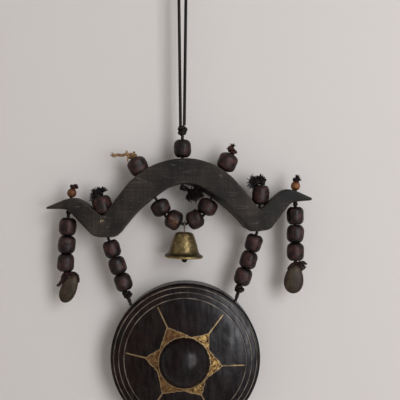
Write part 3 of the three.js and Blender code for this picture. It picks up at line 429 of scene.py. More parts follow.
# Yoke
# Sawn from one plank and carved by knife, with a flat face, soft edges and cord holes drilled
# from top to bottom. It is stained charcoal brown, and handling has scratched the stain.
def charcoal_stained_wood():
    """Stained plank: long grain, fine scratches, and pale rounded edges that are a painted edge highlight, partly
    rubbed wear.
    """
    material, shader, add, place = blank_material("charcoal_stained_carved_wood",
                                                  {"Specular IOR Level": 0.2})
    GRAIN_LENGTH, GRAIN_WIDTH, CLOUD, GRIT = 40 * MM, 1.3 * MM, 30 * MM, 1.1 * MM
    plank = add("Mapping", {"Vector": place, "Scale": (1 / GRAIN_LENGTH, 1 / GRAIN_WIDTH, 1 / GRAIN_WIDTH)})
    grain = add("TexNoise", {"Vector": plank, "Scale": 1.0, "Detail": 6.0, "Roughness": 0.65,
                             "Distortion": 0.4})
    cloud = add("TexNoise", {"Vector": place, "Scale": 1 / CLOUD, "Detail": 4.0})
    grit = add("TexNoise", {"Vector": place, "Scale": 1 / GRIT, "Detail": 2.0})
    soaked = add("MapRange", {0: cloud, 1: 0.34, 2: 0.68})
    colour = add("Mix", {0: soaked, 6: linear("#0a0908"), 7: linear("#312b26")}, data_type="RGBA")
    SAW_GAP, SAW_LENGTH = 1.8 * MM, 26 * MM
    upright = add("Mapping", {"Vector": place, "Scale": (1 / SAW_GAP, 1 / SAW_GAP, 1 / SAW_LENGTH)})
    saw = add("TexNoise", {"Vector": upright, "Scale": 1.0, "Detail": 2.0})
    streak = add("MapRange", {0: grain, 1: 0.3, 2: 0.72, 3: 0.5, 4: 1.42})
    sawn_by = add("MapRange", {0: saw, 1: 0.3, 2: 0.7, 3: 0.68, 4: 1.28})
    for tones in (streak, sawn_by):
        colour = add("Mix", {0: 1.0, 6: colour, 7: tones}, data_type="RGBA", blend_type="MULTIPLY")
    # A hairline shake runs down from the cord hole in the crown
    apart = add("SeparateXYZ", {0: place})
    wander = add("TexNoise", {"Vector": place, "Scale": 1 / (6 * MM)})
    bent = add("MapRange", {0: wander, 3: -1.6 * MM, 4: 1.6 * MM})
    off = add("Math", {0: apart.outputs["X"], 1: bent})
    off = add("Math", {0: off}, operation="ABSOLUTE")
    shake = add("MapRange", {0: off, 1: 0.25 * MM, 2: 0.6 * MM, 3: 0.75, 4: 0.0})
    upper = add("MapRange", {0: apart.outputs["Z"], 1: -192 * MM, 2: -186 * MM})
    shaken = add("Math", {0: shake, 1: upper}, operation="MULTIPLY")
    SCRATCH_GAP = 16 * MM
    slanted = add("Mapping", {"Vector": place, "Rotation": (0, math.radians(-12), 0), "Scale": (1, 1, 9)})
    scratch = add("TexVoronoi", {"Vector": slanted, "Scale": 0.25 / SCRATCH_GAP},
                  feature="DISTANCE_TO_EDGE")
    broken = add("TexNoise", {"Vector": place, "Scale": 1 / (12 * MM)})
    thin = add("MapRange", {0: scratch, 1: 0.0, 2: 0.02, 3: 0.55, 4: 0.0})
    here = add("MapRange", {0: broken, 1: 0.55, 2: 0.62})
    scratched = add("Math", {0: thin, 1: here}, operation="MULTIPLY")
    # The rounded edges are painted pale, a painted edge highlight that is partly rubbed wear
    edge = add("Attribute", attribute_name="edge").outputs["Fac"]
    worn_and_highlight = add("Math", {0: edge, 1: grit}, operation="MULTIPLY")
    rubbed_and_highlight = add("MapRange", {0: worn_and_highlight, 1: 0.16, 2: 0.6, 3: 0.0, 4: 0.45})
    # Two or three small chips show pale wood in the left valley
    CHIPPED_AT = (-78.5 * MM, -9.5 * MM, -236 * MM)
    away = add("VectorMath", {0: place, 1: CHIPPED_AT}, operation="DISTANCE")
    close = add("MapRange", {0: away, 1: 1.5 * MM, 2: 5.5 * MM, 3: 0.22, 4: 0.0})
    flaked = add("Math", {0: grit, 1: close})
    chipped = add("MapRange", {0: flaked, 1: 0.74, 2: 0.8})
    for share, code in ((shaken, "#060504"), (scratched, "#6f6a63"), (rubbed_and_highlight, "#4d463c"),
                        (chipped, "#9a8a6c")):
        colour = add("Mix", {0: share, 6: colour, 7: linear(code)}, data_type="RGBA")
    shine = add("MapRange", {0: cloud, 1: 0.3, 2: 0.7, 3: 0.46, 4: 0.64})
    bump = add("Bump", {"Height": grain, "Strength": 0.3, "Distance": 0.2 * MM})
    feed(shader, {"Base Color": colour, "Roughness": shine, "Normal": bump})
    return material


VOXEL = 0.8 * MM
EDGE_PASSES = 7  # each pass rounds the carved edges a little more
yoke = bpy.data.objects.new("yoke_carving", nodes["yoke"].data.copy())
bpy.context.collection.objects.link(yoke)
remesh = yoke.modifiers.new("remesh", "REMESH")
remesh.mode, remesh.voxel_size = "VOXEL", VOXEL
bpy.context.view_layer.update()
carved = bpy.data.meshes.new_from_object(yoke.evaluated_get(bpy.context.evaluated_depsgraph_get()))
yoke.modifiers.clear()
yoke.data = carved
sawn = [v.co.copy() for v in carved.vertices]
work = bmesh.new()
work.from_mesh(carved)
for _ in range(EDGE_PASSES):
    bmesh.ops.smooth_vert(work, verts=work.verts, factor=0.5, use_axis_x=True, use_axis_y=True,
                          use_axis_z=True)
work.normal_update()
# How much each edge was rounded, which sets its painted edge highlight, partly rubbed wear
edge_wear_and_highlight = []
KNIFE_CUT, KNIFE_DEPTH = 9 * MM, 0.22 * MM
for vertex in work.verts:
    moved = (sawn[vertex.index] - vertex.co).dot(vertex.normal)
    edge_wear_and_highlight.append(min(1.0, max(0.0, moved / (0.45 * VOXEL))))
for vertex in work.verts:
    cut = noise.noise(vertex.co / KNIFE_CUT) + 0.4 * noise.noise(vertex.co / (0.4 * KNIFE_CUT))
    flat_face = abs(vertex.normal.y) ** 4
    vertex.co += vertex.normal * (cut - 0.5) * KNIFE_DEPTH * (1 - 0.7 * flat_face)
work.to_mesh(carved)
work.free()
carved.materials.clear()
carved.materials.append(charcoal_stained_wood())
carved.shade_smooth()
carved.attributes.new("edge", "FLOAT", "POINT").data.foreach_set("value", edge_wear_and_highlight)
stands_for(yoke, "yoke", "yoke_wood")


# Stop knots on the yoke
# Each cord is stopped above its bead by a tight knot, and its cut ends are left to fray. They
# open into short stiff tufts of yarn. One of the bell string's ends is undyed and trails a tail.
def tapered(points, root, tip, sides=5):
    """A fibre that thins from root to tip."""
    path = smooth_path(points, (Vector(points[-1]) - Vector(points[0])).length / 8)
    length = sum((b - a).length for a, b in zip(path, path[1:]))
    return tube(path, lambda run, turn: root + (tip - root) * run / length, sides)


def scatter(rng):
    """A random offset, up to 1 each way."""
    return Vector([rng.uniform(-1, 1) for _ in range(3)])


def loose_curl(rng, start, aim, length, bend, steps=4):
    """Points of a loose end that starts along aim and wanders."""
    points, aim = [Vector(start)], Vector(aim).normalized()
    for _ in range(steps):
        aim = (aim + bend * scatter(rng)).normalized()
        points.append(points[-1] + aim * (length / steps))
    return points


def tuft(rng, start, aim, length, yarns=16, yarn_radius=0.7 * MM, stem_radius=1.5 * MM):
    """A cut cord end: a short stem that opens into curled yarns and a few fine fibres."""
    aim = Vector(aim).normalized()
    stem = loose_curl(rng, start, aim, 0.6 * length, 0.2)
    forms = [laid_cord(stem, stem_radius, sides=12)]
    opening = stem[-1] - 0.2 * length * aim
    for _ in range(yarns):
        spread = scatter(rng)
        curl = loose_curl(rng, opening + 0.6 * stem_radius * spread, aim + 0.6 * spread,
                          length * rng.uniform(0.35, 0.62), 0.55)
        forms.append(tapered(curl, yarn_radius * rng.uniform(0.7, 1.1), 0.4 * yarn_radius))
    for _ in range(yarns // 2):
        spread = scatter(rng)
        curl = loose_curl(rng, opening, aim + 0.8 * spread, length * rng.uniform(0.4, 0.75), 0.6)
        forms.append(tapered(curl, 0.24 * MM, 0.12 * MM, sides=4))
    return together(*forms)


tan_cotton_cord = waxed_cotton("undyed_cotton", "#4a3420", "#a3835a", 0.75)
maroon_waxed_cord = waxed_cotton("maroon_waxed_cotton", "#0d0505", "#2a1410", 0.6)

CORD_R = 1.5 * MM
KNOT_GAP = 0.3 * MM  # between a bead's end and the knot that stops it


def stopped_cord(node, bead_node, seed, knot_radius, tufts=()):
    """A cord through a bead and the yoke, stopped by a knot above the bead, with frayed ends.
    Each is given as its degrees to the right of the bead's axis and its length in mm."""
    rng = random.Random(seed)
    centre, axis = hinge_of(bead_node)
    low, top_of_bead = extent(node, centre, axis)[0], extent(bead_node, centre, axis)[1]
    tied_at = centre + axis * (top_of_bead + KNOT_GAP + 0.55 * knot_radius)
    forms = [
        laid_cord([centre + axis * low, tied_at], CORD_R),
        knot(tied_at, axis + Vector((0.15, 0.1, 0)), knot_radius, 1.2 * MM, roll=seed),
    ]
    for i, (degrees, length) in enumerate(tufts):
        turn = math.radians(degrees)
        aim = math.cos(turn) * axis + math.sin(turn) * Vector((axis.z, 0, -axis.x))
        aim.y = -0.35 + 0.5 * (i % 2)  # to the front and to the wall by turns
        forms.append(tuft(rng, tied_at + 0.3 * knot_radius * aim.normalized(), aim, length * MM))
    return forms, tied_at


brown_waxed_cord = waxed_cotton("brown_waxed_cotton", "#150b08", "#43291f", 0.6)
for seed, (place, cord, radius, tufts) in enumerate([
    ("notch_{}_left", black_waxed_cord, 4.2,
     [(-110, 11.5), (-94, 11), (-78, 9.5), (-46, 6.5), (-6, 5.5), (36, 6.5), (64, 8)]),
    ("notch_{}_right", black_waxed_cord, 4.2,
     [(-114, 15), (-103, 16), (-92, 15.5), (-80, 13.5), (-62, 10), (-30, 8), (4, 7), (36, 4.5)]),
    ("shoulder_{}_right", brown_waxed_cord, 5.2, [(-66, 5.5), (-38, 6.5)]),
    ("tip_{}_left", maroon_waxed_cord, 3.4, [(52, 4.4), (94, 4.4)]),
    ("tip_{}_right", maroon_waxed_cord, 3.4, [(36, 5), (88, 5)]),
]):
    node = place.format("cord")
    forms, _ = stopped_cord(node, place.format("bead"), seed, radius * MM, tufts)
    piece(node, "black_cord", node + "_tied", together(*forms), cord)

forms, tied_at = stopped_cord("shoulder_cord_left", "shoulder_bead_left", 9, 5.6 * MM)
TAIL_POINTS = [(0, 0), (-5.5, 1), (-10, -0.2), (-14.5, 0.4), (-18.5, -1.2)]  # mm from the knot
tail = [tied_at + MM * Vector((x, -1, z)) for x, z in TAIL_POINTS]
rng = random.Random(11)
forms.append(laid_cord(tail, 1.5 * MM, sides=12))
forms.append(tuft(rng, tail[-2], tail[-1] - tail[-2], 8 * MM, yarns=8, yarn_radius=0.5 * MM,
                  stem_radius=1.3 * MM))
forms.append(tuft(rng, tail[1], Vector((0.2, -0.4, 1)), 4 * MM, yarns=3, stem_radius=0.6 * MM))
below = tied_at + MM * Vector((-3.5, -2, -0.5))
forms.append(laid_cord([tied_at, below, below + MM * Vector((-0.6, -0.5, -6))], 0.9 * MM, sides=12))
piece("shoulder_cord_left", "tan_cord", "shoulder_cord_left_tied", together(*forms),
      tan_cotton_cord)


# Crown tail
# Below the crown the doubled cord ends in a stop knot, drawn up against the arch, and its four
# cut ends make the thickest tuft on the piece. It lies to the right along the wood.
low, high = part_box("crown_tail")
CROWN_KNOT_BELOW = 30.5 * MM  # from the tail's upper end, over the crown, to its stop knot
rng = random.Random(21)
knot_at = Vector((1.3 * MM, 0, high.z - CROWN_KNOT_BELOW))
forms = doubled_cord(high.z, knot_at.z, neck_radius)
forms.append(knot(knot_at, UP + Vector((0.3, 0, 0)), 4.6 * MM, 1.5 * MM, roll=0.4))
for aim, length in [((1, -0.35, -0.2), 18), ((1, 0.4, -0.3), 18), ((0.8, -0.2, -0.7), 17),
                    ((0.45, -0.3, -1), 13), ((0.9, -0.8, -0.5), 15), ((0.6, 0.5, -0.8), 14),
                    ((1, 0, -0.5), 19), ((1, -0.3, 0), 19), ((1, -0.7, -0.35), 18)]:
    forms.append(tuft(rng, knot_at + Vector((4.5 * MM, 0, -1.4 * MM)), aim, length * MM, yarns=24))
piece("crown_tail", "black_cord", "crown_tail_tied", together(*forms), black_waxed_cord)


# Gong strings
# Each string leaves the yoke, carries three beads, and is knotted below them so that they stay
# up. It then runs bare to the gong and goes in through a hole in the rim to a knot inside.
GONG_KNOT_R = 5.6 * MM
RIM_GAP = 3.5 * MM  # the thicker part of each string stays clear of the rim's hole
gong_low, gong_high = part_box("gong")
gong_middle = Vector(((gong_low.x + gong_high.x) / 2, 0, (gong_low.z + gong_high.z) / 2))
for seed, side in enumerate(("left", "right")):
    node, last_bead = f"gong_cord_{side}", f"gong_bead_{side}_3"
    centre, axis = hinge_of(last_bead)
    low, high, _, _ = extent(node, centre, axis)
    knot_at = centre + axis * (extent(last_bead, centre, axis)[0] - KNOT_GAP - 0.6 * GONG_KNOT_R)
    string = together(
        laid_cord([centre + axis * low, centre + axis * high], CORD_R),
        laid_cord([centre + axis * (low + RIM_GAP), knot_at], 1.25 * CORD_R),
        knot(knot_at, axis + Vector((0.2, 0.25, 0)), GONG_KNOT_R, 1.3 * MM, roll=1.1 + seed),
        knot(knot_at - 2.2 * MM * axis, axis - Vector((0.2, 0.1, 0)), 0.8 * GONG_KNOT_R, 1.2 * MM,
             roll=2.2),
    )
    piece(node, "black_cord", f"gong_string_{side}", string, black_waxed_cord)

    node = f"rim_knot_{side}"
    stub_out = sum(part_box(node), Vector()) / 2
    outwards = (stub_out - gong_middle).normalized()
    low, high, _, _ = extent(node, stub_out, outwards)
    inside = stub_out + outwards * (low + 2.6 * MM)
    stub = together(
        laid_cord([inside, stub_out + outwards * high], CORD_R),
        knot(inside, outwards, 3.4 * MM, 1.2 * MM, roll=seed),
    )
    piece(node, "black_cord", f"rim_stub_{side}", stub, black_waxed_cord)


# Gong
# A pan of beaten brass with a raised boss and a deep rim turned back towards the wall. It is
# blackened all over, three rings are turned into it, and a star round the boss and six lines
# are scraped back to bare metal.
GONG_R = (gong_high.x - gong_low.x) / 2
GONG_FRONT, GONG_BACK = -gong_low.y, -gong_high.y  # heights in front of the rim holes
BOSS_R, BOSS_HEIGHT = 25 * MM, 15 * MM
FACE_RISE = 8 * MM
WALL = 1.6 * MM
RIM_TAPER, RIM_ROUND = 0.4 * MM, 0.3 * MM
SHOULDER_ROUND = 3 * MM
RING_SHARES = (0.81, 0.883, 0.951)  # of the gong's radius
RING_WIDTH, RING_DEPTH = 0.9 * MM, 0.35 * MM
boss_foot = GONG_FRONT - BOSS_HEIGHT
shoulder = boss_foot - FACE_RISE
boss_ball = (BOSS_R**2 + BOSS_HEIGHT**2) / (2 * BOSS_HEIGHT)


def face_height(r):
    """How high the gong's face stands at a radius, between the boss and the rounded shoulder."""
    if r < BOSS_R:
        return GONG_FRONT - boss_ball + math.sqrt(boss_ball**2 - r**2)
    share = (r - BOSS_R) / (GONG_R - SHOULDER_ROUND - BOSS_R)
    return boss_foot - FACE_RISE * (0.42 * share + 0.58 * share**2.2)


front = []
FACE_STEP, BACK_STEP = 0.6 * MM, 2.5 * MM
ROUND_STEPS, RIM_STEPS = 6, 14
for i in range(int((GONG_R - SHOULDER_ROUND) / FACE_STEP) + 1):
    r = i * FACE_STEP
    cuts = (math.exp(-((r - ring * GONG_R) / (0.4 * RING_WIDTH)) ** 2) for ring in RING_SHARES)
    front.append((r, face_height(r) - RING_DEPTH * sum(cuts)))
shoulder_start = front[-1][1]
for i in range(1, ROUND_STEPS + 1):
    turn = math.radians(90 * i / ROUND_STEPS)
    front.append((GONG_R - SHOULDER_ROUND * (1 - math.sin(turn)),
                  shoulder_start - SHOULDER_ROUND * (1 - math.cos(turn))))
rim_top, rim_foot = front[-1][1], GONG_BACK + RIM_ROUND
rim_inside = shoulder_start - SHOULDER_ROUND - WALL - GONG_BACK
back = [(GONG_R - RIM_TAPER - RIM_ROUND, GONG_BACK),
        (GONG_R - RIM_TAPER - WALL + RIM_ROUND, GONG_BACK)]
for i in range(RIM_STEPS + 1):
    share = i / RIM_STEPS
    if i:
        front.append((GONG_R - RIM_TAPER * share, rim_top + (rim_foot - rim_top) * share))
    back.append((GONG_R - RIM_TAPER * (1 - share) - WALL, rim_foot + rim_inside * share))
r = GONG_R - SHOULDER_ROUND - 0.4 * MM
while r > 0:
    back.append((r, face_height(r) - WALL))
    r -= BACK_STEP
back.append((0, face_height(0) - WALL))
gong_profile = back[::-1] + front[::-1]
DENT, DENT_DEPTH = 13 * MM, 0.24 * MM
BOSS_OFF_CENTRE = Vector((-0.7 * MM, -2.3 * MM, 0))  # the boss was raised by eye, a little low


def beaten(point):
    """The hammer's shallow dents, fading out towards the turned rim, and the boss off centre."""
    r = point.xy.length
    moved = min(1.0, max(0.0, (0.78 * GONG_R - r) / (0.3 * GONG_R)))
    fade = min(1.0, max(0.0, (0.8 * GONG_R - r) / (0.1 * GONG_R)))
    dent = noise.noise(point / DENT) + 0.5 * noise.noise(point / (0.45 * DENT))
    wander = 0.15 * MM * noise.noise(point / (40 * MM))
    moved = moved * moved * (3 - 2 * moved)
    return point + moved * BOSS_OFF_CENTRE + Vector((0, 0, dent * DENT_DEPTH * fade + wander))


level = hinge_of("gong")[1]
gong_place = Matrix.Translation(gong_middle) @ Matrix((
    (level.x, -level.z, 0, 0), (0, 0, -1, 0), (level.z, level.x, 0, 0), (0, 0, 0, 1)))


def blackened_brass():
    """Beaten brass under a black oxide: glossy and mottled, with a star scraped back to metal."""
    material, shader, add, place = blank_material("blackened_beaten_brass", {})
    from_boss = add("VectorMath", {0: place, 1: BOSS_OFF_CENTRE}, operation="SUBTRACT")
    radii = []
    for start in (place, from_boss):
        flat = add("VectorMath", {0: start, 1: (1, 1, 0)}, operation="MULTIPLY")
        radii.append(add("VectorMath", {0: flat}, operation="LENGTH"))
    radius, boss_radius = radii

    def past(point, aim):
        """How far the surface reaches past a point in one direction, both in mm from the boss."""
        run = add("VectorMath", {0: from_boss, 1: (*aim, 0)}, operation="DOT_PRODUCT")
        return add("Math", {0: run, 1: MM * aim.dot(point)}, operation="SUBTRACT")

    # The star, in millimetres from the boss: its tips and the valleys between them, clockwise
    TIPS = [(-15.6, 35.8), (25.4, 27.9), (37.5, -4.6), (15.7, -32.7), (-23.4, -29.6), (-39, 6.5)]
    VALLEYS = [(8.7, 25), (24.8, 11.9), (20.5, -16.8), (-2.6, -27.3), (-26.8, -7.2), (-23.8, 14.4)]
    LINE_ENDS = [(-24, 54.4), (39.5, 44.6), (58.4, -5.5), (25.1, -53.4), (-35.4, -47.2), (-57, 11)]
    ARM_FOOT = 17  # from the boss's middle, inside the ring that the arms grow from
    RING_OUT = BOSS_R + 1.5 * MM
    scraped = add("Math", {0: boss_radius, 1: RING_OUT}, operation="SUBTRACT")
    lines = 1.0
    for i, (tip, end) in enumerate(zip(TIPS, LINE_ENDS)):
        tip, end = Vector(tip), Vector(end)
        arm = past(ARM_FOOT * tip.normalized(), -tip.normalized())
        for corner, turn in ((VALLEYS[i - 1], 1), (VALLEYS[i], -1)):
            along = (tip - Vector(corner)).normalized()
            edge = past(tip, turn * Vector((-along.y, along.x)))
            arm = add("Math", {0: arm, 1: edge}, operation="MAXIMUM")
        scraped = add("Math", {0: scraped, 1: arm}, operation="MINIMUM")
        start = 0.93 * tip
        along = (end - start).normalized()
        line = add("Math", {0: past(start, Vector((-along.y, along.x)))}, operation="ABSOLUTE")
        for limit in (past(start, -along), past(end, along)):
            line = add("Math", {0: line, 1: limit}, operation="MAXIMUM")
        lines = add("Math", {0: lines, 1: line}, operation="MINIMUM")
    dome = add("Math", {0: BOSS_R + 0.1 * MM, 1: boss_radius}, operation="SUBTRACT")
    scraped = add("Math", {0: scraped, 1: dome}, operation="MAXIMUM")
    rough_edge = add("TexNoise", {"Vector": place, "Scale": 1 / (3 * MM), "Detail": 3.0})
    wobble = add("MapRange", {0: rough_edge, 1: 0.3, 2: 0.7, 3: -0.5 * MM, 4: 0.5 * MM})
    uneven = add("Math", {0: scraped, 1: wobble})
    star = add("MapRange", {0: uneven, 1: 0.25 * MM, 2: -0.25 * MM})
    border = add("MapRange", {0: uneven, 1: -1.0 * MM, 2: -0.4 * MM, 4: 0.7})
    scored = add("MapRange", {0: lines, 1: 0.8 * MM, 2: 0.4 * MM})
    rings = 0.0
    for share in RING_SHARES:
        gap = add("Math", {0: radius, 1: share * GONG_R}, operation="SUBTRACT")
        gap = add("Math", {0: gap}, operation="ABSOLUTE")
        turned_in = add("MapRange", {0: gap, 1: 0.5 * MM, 2: 0.24 * MM})
        rings = add("Math", {0: rings, 1: turned_in}, operation="MAXIMUM")
    apart = add("SeparateXYZ", {0: place})
    on_face = add("Math", {0: apart.outputs["Z"], 1: shoulder - 4 * MM}, operation="GREATER_THAN")
    faded = add("TexNoise", {"Vector": place, "Scale": 1 / (11 * MM), "Detail": 2.0})
    strength = add("MapRange", {0: faded, 1: 0.3, 2: 0.55, 3: 0.35, 4: 1.0})
    worn_ring = add("MapRange", {0: faded, 1: 0.4, 2: 0.6, 3: 0.3, 4: 0.85})
    rings = add("Math", {0: rings, 1: worn_ring}, operation="MULTIPLY")
    rings = add("Math", {0: rings, 1: on_face}, operation="MULTIPLY")
    scored = add("Math", {0: scored, 1: strength}, operation="MULTIPLY")
    bare = add("Math", {0: star, 1: scored}, operation="MAXIMUM")
    bare = add("Math", {0: bare, 1: on_face}, operation="MULTIPLY")

    SPECK, MOTTLE, CLOUD = 1.6 * MM, 5 * MM, 26 * MM
    specks = add("TexNoise", {"Vector": place, "Scale": 1 / SPECK, "Detail": 4.0, "Roughness": 0.7})
    mottle = add("TexNoise", {"Vector": place, "Scale": 1 / MOTTLE, "Detail": 3.0})
    cloud = add("TexNoise", {"Vector": place, "Scale": 1 / CLOUD, "Detail": 5.0, "Roughness": 0.6})
    mixed = add("Math", {0: specks, 1: mottle})
    brass = add("ValToRGB", {0: add("MapRange", {0: mixed, 1: 0.82, 2: 1.18})})
    stops = brass.color_ramp.elements
    stops[0].color, stops[1].color = linear("#1c130b"), linear("#ceb070")
    for position, code in ((0.36, "#5c4226"), (0.6, "#8f7246")):
        stops.new(position).color = linear(code)
    # The left of the star is painted a darker, flat orange brown as painted shade, away from the lamp
    left_shade = add("MapRange", {0: apart.outputs["X"], 1: -8 * MM, 2: 24 * MM, 3: 0.8, 4: 0.0})
    bright = brass
    for share, code in ((left_shade, "#523622"), (border, "#a08b68")):
        bright = add("Mix", {0: share, 6: bright, 7: linear(code)}, data_type="RGBA")
    browned = add("MapRange", {0: cloud, 1: 0.34, 2: 0.68})
    # The face is tinted blue towards the right, a painted reflection of the cool lamp
    bluish_reflection = add("MapRange", {0: apart.outputs["X"], 1: -30 * MM, 2: 60 * MM, 4: 0.75})
    colour = linear("#050303")
    for share, code in ((browned, "#1a0b08"), (bluish_reflection, "#0a0a0e"), (rings, "#80766a")):
        colour = add("Mix", {0: share, 6: colour, 7: linear(code)}, data_type="RGBA")
    colour = add("Mix", {0: bare, 6: colour, 7: bright}, data_type="RGBA")
    oxide_shine = add("MapRange", {0: mottle, 1: 0.3, 2: 0.7, 3: 0.24, 4: 0.36})
    shine = add("Mix", {0: bare, 2: oxide_shine, 3: 0.56}, data_type="FLOAT")
    metal = add("MapRange", {0: bare, 4: 0.7})
    bump = add("Bump", {"Height": mixed, "Strength": 0.25, "Distance": 0.15 * MM})
    SMUDGE = (4 * MM, 16 * MM, 8 * MM)
    wiped = add("Mapping", {"Vector": place, "Scale": [1 / size for size in SMUDGE]})
    smudge = add("TexNoise", {"Vector": wiped, "Scale": 1.0, "Detail": 3.0})
    handled = add("MapRange", {0: smudge, 1: 0.35, 2: 0.65, 3: 0.55, 4: 1.3})
    dull_rim = add("MapRange", {0: radius, 1: 0.97 * GONG_R, 2: 0.995 * GONG_R, 3: 0.24, 4: 0.06})
    gloss = add("Math", {0: dull_rim, 1: handled}, operation="MULTIPLY")
    feed(shader, {"Base Color": colour, "Roughness": shine, "Metallic": metal,
                  "Specular IOR Level": gloss, "Normal": bump})
    return material


GONG_SIDES = 240
piece("gong", "black_brass", "gong_pan", turned(gong_profile, GONG_SIDES, beaten),
      blackened_brass(), place=gong_place)


# Bell string
# One cord comes out of the two arms of the yoke and sags between them, with two beads a side.
# The lower beads lean on each other over the wire of the bell.
BEND_IN = 0.84  # how far through a bead's half length the cord runs straight
legs = []
for side in ("left", "right"):
    upper, lower = f"bell_bead_{side}_1", f"bell_bead_{side}_2"
    upper_at, upper_axis = hinge_of(upper)
    lower_at, lower_axis = hinge_of(lower)
    upper_end = extent(upper, upper_at, upper_axis)[1]
    lower_end = extent(lower, lower_at, lower_axis)[0]
    cross = upper_axis.x * lower_axis.z - upper_axis.z * lower_axis.x
    gap = lower_at - upper_at
    bend = upper_at + upper_axis * ((gap.x * lower_axis.z - gap.z * lower_axis.x) / cross)
    legs.append([
        upper_at + upper_axis * (upper_end + 4.4 * MM),
        upper_at,
        upper_at - BEND_IN * upper_end * upper_axis,
        bend,
        lower_at - BEND_IN * lower_end * lower_axis,
        lower_at,
        lower_at + lower_end * lower_axis,
    ])
apex = hinge_of("bell_eye")[0]
piece("bell_cord", "black_cord", "bell_string",
      laid_cord(legs[0] + [apex] + legs[1][::-1], CORD_R), black_waxed_cord)


# Bell
# A small cast brass bell with a flared lip, turned on the outside and gone brown with age. A
# wire is bent round the string, goes through the head and carries the clapper inside.
def aged_cast_brass(name, deep, lit):
    """Cast brass, turned and tarnished: pitted, dark in the flare as painted shade, and bright on the lip as a
    painted highlight that is partly wear.
    """
    material, shader, add, place = blank_material(name, {"Metallic": 0.9})
    PIT, TARNISH = 1.4 * MM, 8 * MM
    pits = add("TexNoise", {"Vector": place, "Scale": 1 / PIT, "Detail": 4.0, "Roughness": 0.7})
    tarnish = add("TexNoise", {"Vector": place, "Scale": 1 / TARNISH, "Detail": 5.0, "Roughness": 0.65})
    mixed = add("Math", {0: pits, 1: tarnish})
    share, colour = add("MapRange", {0: mixed, 1: 0.75, 2: 1.3}), linear(deep)
    # The flare is painted dark as painted shade, and the lip bright as a painted highlight that is partly wear
    for kept, code in ((None, lit), ("flare_shade", "#2b2114"), ("worn_and_highlight", "#b09a62")):
        if kept:
            share = add("Attribute", attribute_name=kept).outputs["Fac"]
        colour = add("Mix", {0: share, 6: colour, 7: linear(code)}, data_type="RGBA")
    shine = add("MapRange", {0: tarnish, 1: 0.3, 2: 0.7, 3: 0.3, 4: 0.5})
    bump = add("Bump", {"Height": mixed, "Strength": 0.4, "Distance": 0.2 * MM})
    feed(shader, {"Base Color": colour, "Roughness": shine, "Normal": bump})
    return material


aged_brass = aged_cast_brass("aged_cast_brass", "#2e2417", "#a38f62")
BELL_LEAN = math.radians(2)
BELL_HEAD = 0.75  # mm above its pivot
# Outside of the bell from head to lip, in millimetres from its axis and below its head
BELL_OUTSIDE = [(0, 0), (3, 0.05), (5.8, 0.2), (7.7, 0.8), (9, 1.9), (9.9, 3.7), (11, 6.7),
                (12.4, 10.6), (13.6, 14.5), (14.6, 18), (15.5, 20.4), (16.8, 21.9), (18.1, 22.6)]
BELL_LIP = [(18.9, 23.1), (19.4, 23.9), (19.4, 24.8), (19, 25.5), (18.2, 25.8), (17.5, 25.5)]
BELL_INSIDE = [(16.9, 24.5), (15.5, 22.8), (14.2, 20.6), (13.2, 18), (12.2, 14.5), (11, 10.6),
               (9.6, 6.8), (8.4, 4.4), (7.3, 2.8), (5.2, 1.9), (3, 1.6), (0, 1.55)]


def spread_out(points):
    """More points on a smooth curve through a profile."""
    return [(max(0.0, p.x), p.z) for p in smooth_path([(r, 0, z) for r, z in points], 0.8)]


outside = spread_out(BELL_OUTSIDE + BELL_LIP)
inside = spread_out(BELL_LIP[-1:] + BELL_INSIDE)[1:]
bell_profile = [(r * MM, (BELL_HEAD - z) * MM) for r, z in reversed(outside + inside)]
bell = piece("bell", "bell_brass", "bell_casting", turned(bell_profile, 96), aged_brass,
             place=Matrix.Translation(hinge_of("bell")[0]) @ Matrix.Rotation(BELL_LEAN, 4, "Y"))
lip_height = min(v.co.z for v in bell.data.vertices)
# Bands for the painted highlight on the lip, partly wear, and for the painted shade in the flare
for name, share, rise, reach in (("worn_and_highlight", 1, 0.6 * MM, 1.1 * MM), ("flare_shade", 0.75, 3.6 * MM, 3 * MM)):
    values = [share * max(0.0, 1 - abs(v.co.z - lip_height - rise) / reach)
              for v in bell.data.vertices]
    bell.data.attributes.new(name, "FLOAT", "POINT").data.foreach_set("value", values)


def rusted_iron_wire():
    """Soft iron wire with a brown bloom of rust."""
    material, shader, add, place = blank_material("rusted_iron_wire", {"Metallic": 0.7, "Roughness": 0.5})
    rust = add("TexNoise", {"Vector": place, "Scale": 1 / (1.2 * MM), "Detail": 4.0})
    colour = add("Mix", {0: rust, 6: linear("#3a2a22"), 7: linear("#8b7a6c")}, data_type="RGBA")
    bump = add("Bump", {"Height": rust, "Strength": 0.4, "Distance": 0.1 * MM})
    feed(shader, {"Base Color": colour, "Normal": bump})
    return material


def ring(centre, radius, across=True):
    """A closed ring of wire, in the plane across the hanging or in the hanging's own plane."""
    SIDES = 32
    path = []
    for i in range(SIDES + 1):
        turn = 2 * math.pi * i / SIDES
        side = radius * math.cos(turn)
        path.append(centre + Vector((0 if across else side, side if across else 0,
                                     radius * math.sin(turn))))
    return tube(path, WIRE_R, 10)


WIRE_R = 0.7 * MM
low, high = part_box("bell_eye")
eye_radius = (high.y - low.y) / 2 - WIRE_R
INNER_RING_R = 2 * MM
eye_middle = Vector((apex.x, 0, high.z - eye_radius - WIRE_R))
inner_ring = Vector((apex.x, 0, low.z + INNER_RING_R + WIRE_R))
wire_eye = together(
    ring(eye_middle, eye_radius),
    tube([eye_middle - Vector((0, 0, eye_radius)), inner_ring + Vector((0, 0, INNER_RING_R))],
         WIRE_R, 10),
    ring(inner_ring, INNER_RING_R),
)
piece("bell_eye", "wire", "bell_wire", wire_eye, rusted_iron_wire())

